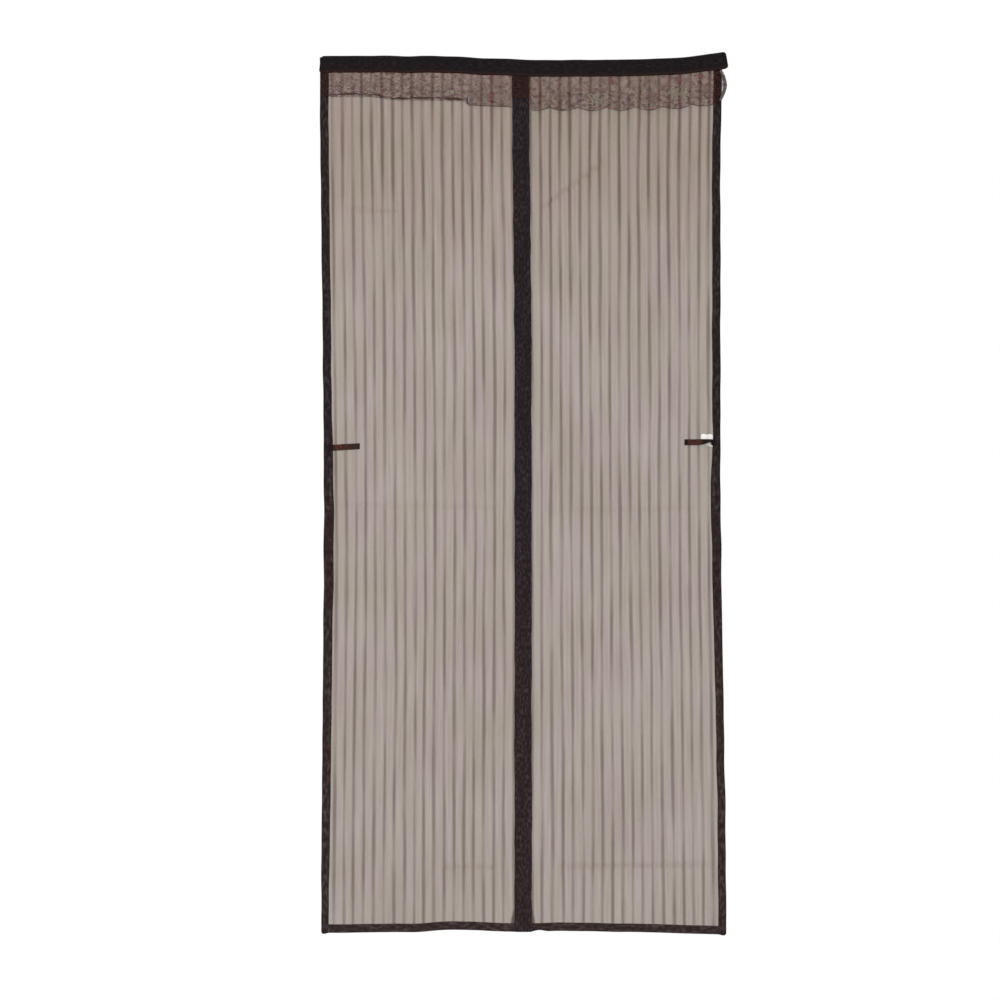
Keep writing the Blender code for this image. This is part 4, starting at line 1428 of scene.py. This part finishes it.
PALE_FLOWERS = (
    (183, -81, 1.25),
    (380, -66, 0.85),
    (407, -70, 0.85),
    (270, -60, 0.5),
    (-171, -69, 0.35),
)
ROSE_FLOWERS = ((-76, -74, 0.6), (225, -34, 0.7), (392, -36, 0.6), (448, -32, 0.5))
COLOURED = (("pale", PALE_FLOWERS, pale_finish), ("rose", ROSE_FLOWERS, rose_finish))
for name, flowers, finish in COLOURED:
    outlines = []
    for x, z, scale in flowers:
        outlines += petals(x * MM, z * MM, scale, x * 0.1)
    make_threads(f"lace_{name}_flowers", outlines, PALE_THREAD, finish)

# %% [markdown]
# ## Tie straps, pads and tag
# Each strap ties its panel back when the door stands open. Both are short red-brown ribbons
# sewn to the side binding, with a black gripping pad on the end, and both are painted darker
# towards their ends. The right one has turned over, so its pad faces back and it narrows where
# it twists, and its dark root is painted shade where it twists. Beside it is a white sewn-in
# tag, bare, which has puffed up into two soft lobes. Its lower part, below the strap, has
# painted shade.

# %% Sizes and colours of the straps
STRAP_LENGTH = 80 * MM
STRAP_WIDTH = 15 * MM
STRAP_THICKNESS = 1.2 * MM
STRAP_SEAM = 12 * MM
STRAP_RISE_LEFT = 4.5 * MM
STRAP_DOWN_LEFT = 963 * MM
STRAP_DOWN_RIGHT = 951 * MM
STRAP_TIP = math.radians(60)
STRAP_SAG = (0.5 * MM, 22 * MM)
STRAP_STEPS = (2 * MM, 1.5 * MM)
SOIL_FADE = 6 * MM
PAD_LENGTH = 25 * MM
PAD_WIDTH = 12 * MM
PAD_THICKNESS = 0.8 * MM
PAD_INSET = 3 * MM
PAD_CORNER = 2 * MM
TWIST_SKEW = 0.33
# Dark colour of the strap ribbon and of its painted sheen speckles
STRAP_DARK = (0.034, 0.0110, 0.0080)
STRAP_SHEEN = (0.135, 0.050, 0.036)
# Dark pair at the strap's ends; on the right strap's twisted root it is painted shade
STRAP_DARKENED = (0.0085, 0.0045, 0.0040), (0.0180, 0.0100, 0.0085)
# Where along each strap its colour turns from dark to red-brown and back to dark
STRAP_DARK_ENDS = {"left": (18 * MM, 66 * MM), "right": (38 * MM, 68 * MM)}
strap_finish = ribbon_material("strap_ribbon", STRAP_DARK, STRAP_SHEEN, STRAP_DARKENED, fleck=260)

# %% Shape of a strap
left_strap_back = FRONT_FRONT_LEAF - RIBBON_THICKNESS - CLEARANCE
right_pad_back = REAR_CLOTH - CLOTH_THICKNESS - CLEARANCE
right_strap_back = right_pad_back - PAD_THICKNESS - CLEARANCE


def strap_place(side, back_face, down, rise, tip):
    """The place of a point of a strap, from its sewn root inwards."""
    root_x, root_z = drape(side * (TAPE_INNER + STRAP_SEAM), -down)

    def place(along, reach):
        share = (along - STRAP_SEAM) / (STRAP_LENGTH - STRAP_SEAM - PAD_LENGTH - PAD_INSET)
        turn = tip * math.sin(math.pi * min(max(share, 0), 1) ** TWIST_SKEW)
        below = STRAP_WIDTH / 2 - reach
        upper = root_z + rise * along / STRAP_LENGTH + STRAP_WIDTH / 2
        sag = ripple(along, reach, *STRAP_SAG, 2.2)
        depth = back_face - STRAP_THICKNESS / 2 - below * math.sin(turn)
        return root_x - side * along, depth, upper + sag - below * math.cos(turn)

    return place


# %% Make the straps
# Side, back face, height, rise towards the tip and twist of each strap
STRAPS = {
    "left": (-1, left_strap_back, STRAP_DOWN_LEFT, STRAP_RISE_LEFT, 0),
    "right": (1, right_strap_back, STRAP_DOWN_RIGHT, 0, STRAP_TIP),
}


def darkened_ends(along, root_end, tip_start):
    """1 at a strap's dark ends, 0 where it is red-brown; the right strap's dark root is painted
    shade.
    """
    return max(ease((root_end - along) / SOIL_FADE), ease((along - tip_start) / SOIL_FADE))


for name, (side, back, down, rise, tip) in STRAPS.items():
    root_end, tip_start = STRAP_DARK_ENDS[name]
    strap = make_cloth(
        f"{name}_strap",
        stations(0, STRAP_LENGTH, STRAP_STEPS[0]),
        stations(-STRAP_WIDTH / 2, STRAP_WIDTH / 2, STRAP_STEPS[1]),
        strap_place(side, back, down, rise, tip),
        STRAP_THICKNESS,
        strap_finish,
        [f"tie_strap_{name}"],
        lambda along, reach: darkened_ends(along, root_end, tip_start),
    )

# %% Finish of the pads and loops
PILE_RELIEF = 0.6 * MM


def pile_material(name, dark, light, scale):
    """A dense pile of short hooks or loops, with painted highlight on the tufts and shade between.
    """
    material, tree, shader = start_material(name, roughness=0.9, sheen=0.3, specular=0.1)
    pile = add_node(tree, "ShaderNodeTexVoronoi", {"Vector": solid_place(tree), "Scale": scale})
    tufts = pile.outputs["Distance"]
    # Painted highlight on each tuft's top and painted shade between the tufts
    colour = blend_colour(tree, spread(tree, tufts, 0.1, 0.7), light, dark)
    paint(tree, shader, colour)
    add_bump(tree, shader, sums(tree, "SUBTRACT", 1.0, tufts), PILE_RELIEF)
    return material


hook_finish = pile_material("hook_pile", (0.018, 0.0075, 0.0055), (0.045, 0.0190, 0.0150), 900)
loop_finish = pile_material("loop_pile", (0.005, 0.005, 0.006), (0.022, 0.021, 0.023), 620)

# %% Make the pads
def make_pad(name, box, material, stands_for):
    """A rounded pad in the box of its solid."""
    low, high = box
    size = high - low
    shape = bmesh.new()
    bmesh.ops.create_cube(shape, size=1)
    bmesh.ops.scale(shape, verts=shape.verts, vec=size)
    upright = []
    for edge in shape.edges:
        run = edge.verts[0].co - edge.verts[1].co
        if abs(run.y) > size.y / 2:
            upright.append(edge)
    bmesh.ops.bevel(
        shape, geom=upright, offset=PAD_CORNER, segments=4, profile=0.5, affect="EDGES", material=-1
    )
    bmesh.ops.translate(shape, verts=shape.verts, vec=(low + high) / 2)
    return keep(as_piece(name, shape), material, stands_for)


for name in STRAPS:
    make_pad(f"{name}_grip_pad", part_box(f"tie_pad_{name}"), hook_finish, [f"tie_pad_{name}"])

# %% Material of the tag
SATIN_YARN = 0.4 * MM
SATIN_RELIEF = 0.1 * MM
TAG_WHITE = (0.84, 0.81, 0.79)
# Colour of the tag's random soiling and of its painted shade below the strap
TAG_SOIL_AND_SHADE = (0.62, 0.55, 0.54)


def tag_material():
    """White satin tape, with random soiling and painted shade below the strap."""
    material, tree, shader = start_material("white_satin", roughness=0.45, sheen=0.2, specular=0.3)
    flat, under = cloth_flat(tree), cloth_mark(tree)
    soil_and_shade = spread(tree, grain(tree, flat, 120, detail=3), 0.45, 0.75)
    # Painted shade on the lower part, below the strap
    soil_and_shade = sums(tree, "MAXIMUM", soil_and_shade, under)
    paint(tree, shader, blend_colour(tree, soil_and_shade, TAG_WHITE, TAG_SOIL_AND_SHADE))
    add_bump(tree, shader, weave_height(tree, flat, SATIN_YARN), SATIN_RELIEF, strength=0.5)
    return material


# %% Shape of the tag
TAG_SHEET = 0.35 * MM
TAG_STEPS = (1 * MM, 1.5 * MM)
TAG_PUFF = 1.6 * MM
TAG_SHIFT = 3.5 * MM
# Shares of its height by which it dips between the lobes, falls away from its root and rises at
# its foot, and the share of its width by which its foot is narrower
TAG_DIP = 0.17
TAG_FALL = 0.07
TAG_FOOT_RISE = 0.1
TAG_FOOT_IN = 0.48
tag_low, tag_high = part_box("care_tag")
tag_size = tag_high - tag_low


def tag_place(across, up):
    """The place of a point of the tag, with two lobes and their dip."""
    share = across / tag_size.x
    level = up / tag_size.z
    lobe = abs(math.sin(2 * math.pi * share))
    rounding = 1 - TAG_DIP * (1 - lobe) ** 2 - TAG_FALL * (1 - share)
    height = tag_size.z * (0.5 + (level - 0.5) * (rounding if level > 0.5 else 1))
    height += TAG_FOOT_RISE * tag_size.z * share * ease(1 - 2 * level)
    puff = TAG_PUFF * lobe * ease(2 * level) * ease(share * 8)
    inward = across * (1 - TAG_FOOT_IN * ease(1 - 2 * level))
    return tag_high.x + TAG_SHIFT - inward, tag_high.y - TAG_SHEET / 2 - puff, tag_low.z + height


def tag_under_strap_shade(across, up):
    """1 on the lower part of the tag away from its root, where it has painted shade below the
    strap.
    """
    return ease(1.2 - 2.4 * up / tag_size.z) * ease(3 * across / tag_size.x - 1.5)


# %% Make the tag
tag = make_cloth(
    "bare_tag",
    stations(0, tag_size.x, TAG_STEPS[0]),
    stations(0, tag_size.z, TAG_STEPS[1]),
    tag_place,
    TAG_SHEET,
    tag_material(),
    ["care_tag"],
    tag_under_strap_shade,
)

# %% [markdown]
# ## Loop strip
# On the back of the header is the soft half of a touch fastener, which sticks to the hooks on
# the door frame. It is a woven strip with rows of short loops.

# %% Make the loop strip
LOOP_STRIP_HEIGHT = 20 * MM
LOOP_INSET = 8 * MM
LOOP_BASE = 0.6 * MM
LOOP_GRID = 3.0 * MM
LOOP_STEPS = (6 * MM, 5 * MM)
LOOP_MARGIN = 2 * MM
LOOP_SIZE = (2.4 * MM, 1.0 * MM, 2.4 * MM)
TUFT_UNEVEN = (0.2 * MM, 3 * MM)
TUFT_SUNK = 0.1 * MM


def loop_place(x, z):
    """The place of a flat point of the strip's woven base."""
    hung_x, hung_z = drape(x, z)
    return hung_x, -LOOP_THICKNESS + LOOP_BASE / 2, hung_z


loop_left = HEADER_LEFT + LOOP_INSET
loop_right = HEADER_RIGHT - LOOP_INSET
loop_base = make_cloth(
    "loop_strip_base",
    stations(loop_left, loop_right, LOOP_STEPS[0]),
    stations(-LOOP_STRIP_HEIGHT / 2, LOOP_STRIP_HEIGHT / 2, LOOP_STEPS[1]),
    loop_place,
    LOOP_BASE,
    loop_finish,
    ["header_loop_strip"],
)
tufts = []
highest = LOOP_STRIP_HEIGHT / 2 - LOOP_MARGIN
for row, z in enumerate(stations(-highest, highest, LOOP_GRID)):
    for x in stations(loop_left + LOOP_GRID, loop_right - LOOP_GRID, LOOP_GRID):
        tuft_x, tuft_z = drape(x + (row % 2) * LOOP_GRID / 2, z)
        depth = ripple(x, z, *TUFT_UNEVEN, 1.0) - LOOP_SIZE[1] / 2 - TUFT_SUNK
        turn = Matrix.Rotation(x * 900 + z * 700, 4, "Y")
        tufts.append(Matrix.Translation((tuft_x, depth, tuft_z)) @ turn)
make_copies("loop_strip_tufts", LOOP_SIZE, tufts, loop_finish)

# %% [markdown]
# ## Stitching
# All of it is sewn with dark polyester thread. One stitch is a flattened bead of twenty faces,
# laid along its seam again and again, on the face that shows and on the face behind.

# %% Stitch helpers
STITCH = 2.6 * MM
STITCH_PITCH = 3.6 * MM
STITCH_SIZE = (STITCH, 0.45 * MM, 0.55 * MM)
SEAM_INSET = 3 * MM


def stitch_between(start, end):
    """Lays a stitch from one point to another."""
    start, end = Vector(start), Vector(end)
    turn = (end - start).to_track_quat("X", "Z").to_matrix().to_4x4()
    return Matrix.Translation((start + end) / 2) @ turn


def along_ribbon(place, way, start, end, proud):
    """Stitches on a folded ribbon, at the given way round it."""
    side = 1 if way > 0 else -1
    return [
        stitch_between(a, b)
        for stop in stations(start, end, STITCH_PITCH)[:-1]
        for a, b in [[lift_off(place(way, at), side * proud) for at in (stop, stop + STITCH)]]
    ]


def lift_off(point, proud):
    """Moves a point towards the viewer, or away for a negative amount."""
    x, y, z = point
    return x, y - proud, z


# %% Sew the seams
STITCH_PROUD = RIBBON_THICKNESS / 2 + 0.05 * MM
STITCH_FROM_END = 8 * MM
STITCH_FROM_HEM = 2 * MM
BAND_SEAM_IN = 1 * MM
stitch_finish = thread_material("sewing_thread", (0.010, 0.008, 0.008), (0.040, 0.036, 0.038), 1400)
stitches = {"header": [], "left": [], "right": [], "band": []}
seam_foot = HEM + STITCH_FROM_HEM
left_end, right_end = HEADER_LEFT + STITCH_FROM_END, HEADER_RIGHT - STITCH_FROM_END
for way in (header_half - SEAM_INSET, header_half - HEADER_HEIGHT + SEAM_INSET):
    for sign in (1, -1):
        stitches["header"] += along_ribbon(
            header_place, sign * way, left_end, right_end, STITCH_PROUD
        )
for name, (side, back, front) in LEAVES.items():
    on_side, on_hem = side_place(side, back, front), hem_place(side, back, front)
    low, high = sorted((side * hem_inner, side * hem_outer(side)))
    low, high = low + STITCH_FROM_HEM, high - STITCH_FROM_HEM
    for sign in (1, -1):
        way = sign * (side_half - SEAM_INSET)
        stitches[name] += along_ribbon(on_side, way, seam_foot, HEADER_BOTTOM, STITCH_PROUD)
        way = sign * (hem_half - SEAM_INSET)
        stitches[name] += along_ribbon(on_hem, way, low, high, STITCH_PROUD)
for name, (side, back, front, panel) in BANDS.items():
    for way in (band_half - SEAM_INSET, band_half - BAND_WIDTH + SEAM_INSET + BAND_SEAM_IN):
        stitches["band"] += along_ribbon(
            band_place(side, back, front), side * way, seam_foot, HEADER_BOTTOM, STITCH_PROUD
        )
for name, places in stitches.items():
    make_copies(f"{name}_stitches", STITCH_SIZE, places, stitch_finish)

# %% [markdown]
# ## Floor
# Last comes the floor, which isn't attached to the screen.

# %% Floor
shape = bmesh.new()
bmesh.ops.create_grid(shape, x_segments=1, y_segments=1, size=0.5)
bmesh.ops.scale(shape, verts=shape.verts, vec=(2 * FLOOR_HALF_WIDTH, FLOOR_BACK - FLOOR_FRONT, 1))
bmesh.ops.translate(shape, verts=shape.verts, vec=(0, (FLOOR_BACK + FLOOR_FRONT) / 2, FLOOR_LEVEL))
floor = as_piece("floor", shape)
floor_finish, _, floor_shader = start_material("pale_floor", roughness=0.8, sheen=0.0, specular=0.2)
floor_shader.inputs["Base Color"].default_value = FLOOR_COLOUR
floor.data.materials.append(floor_finish)
scene.collection.objects.link(floor)
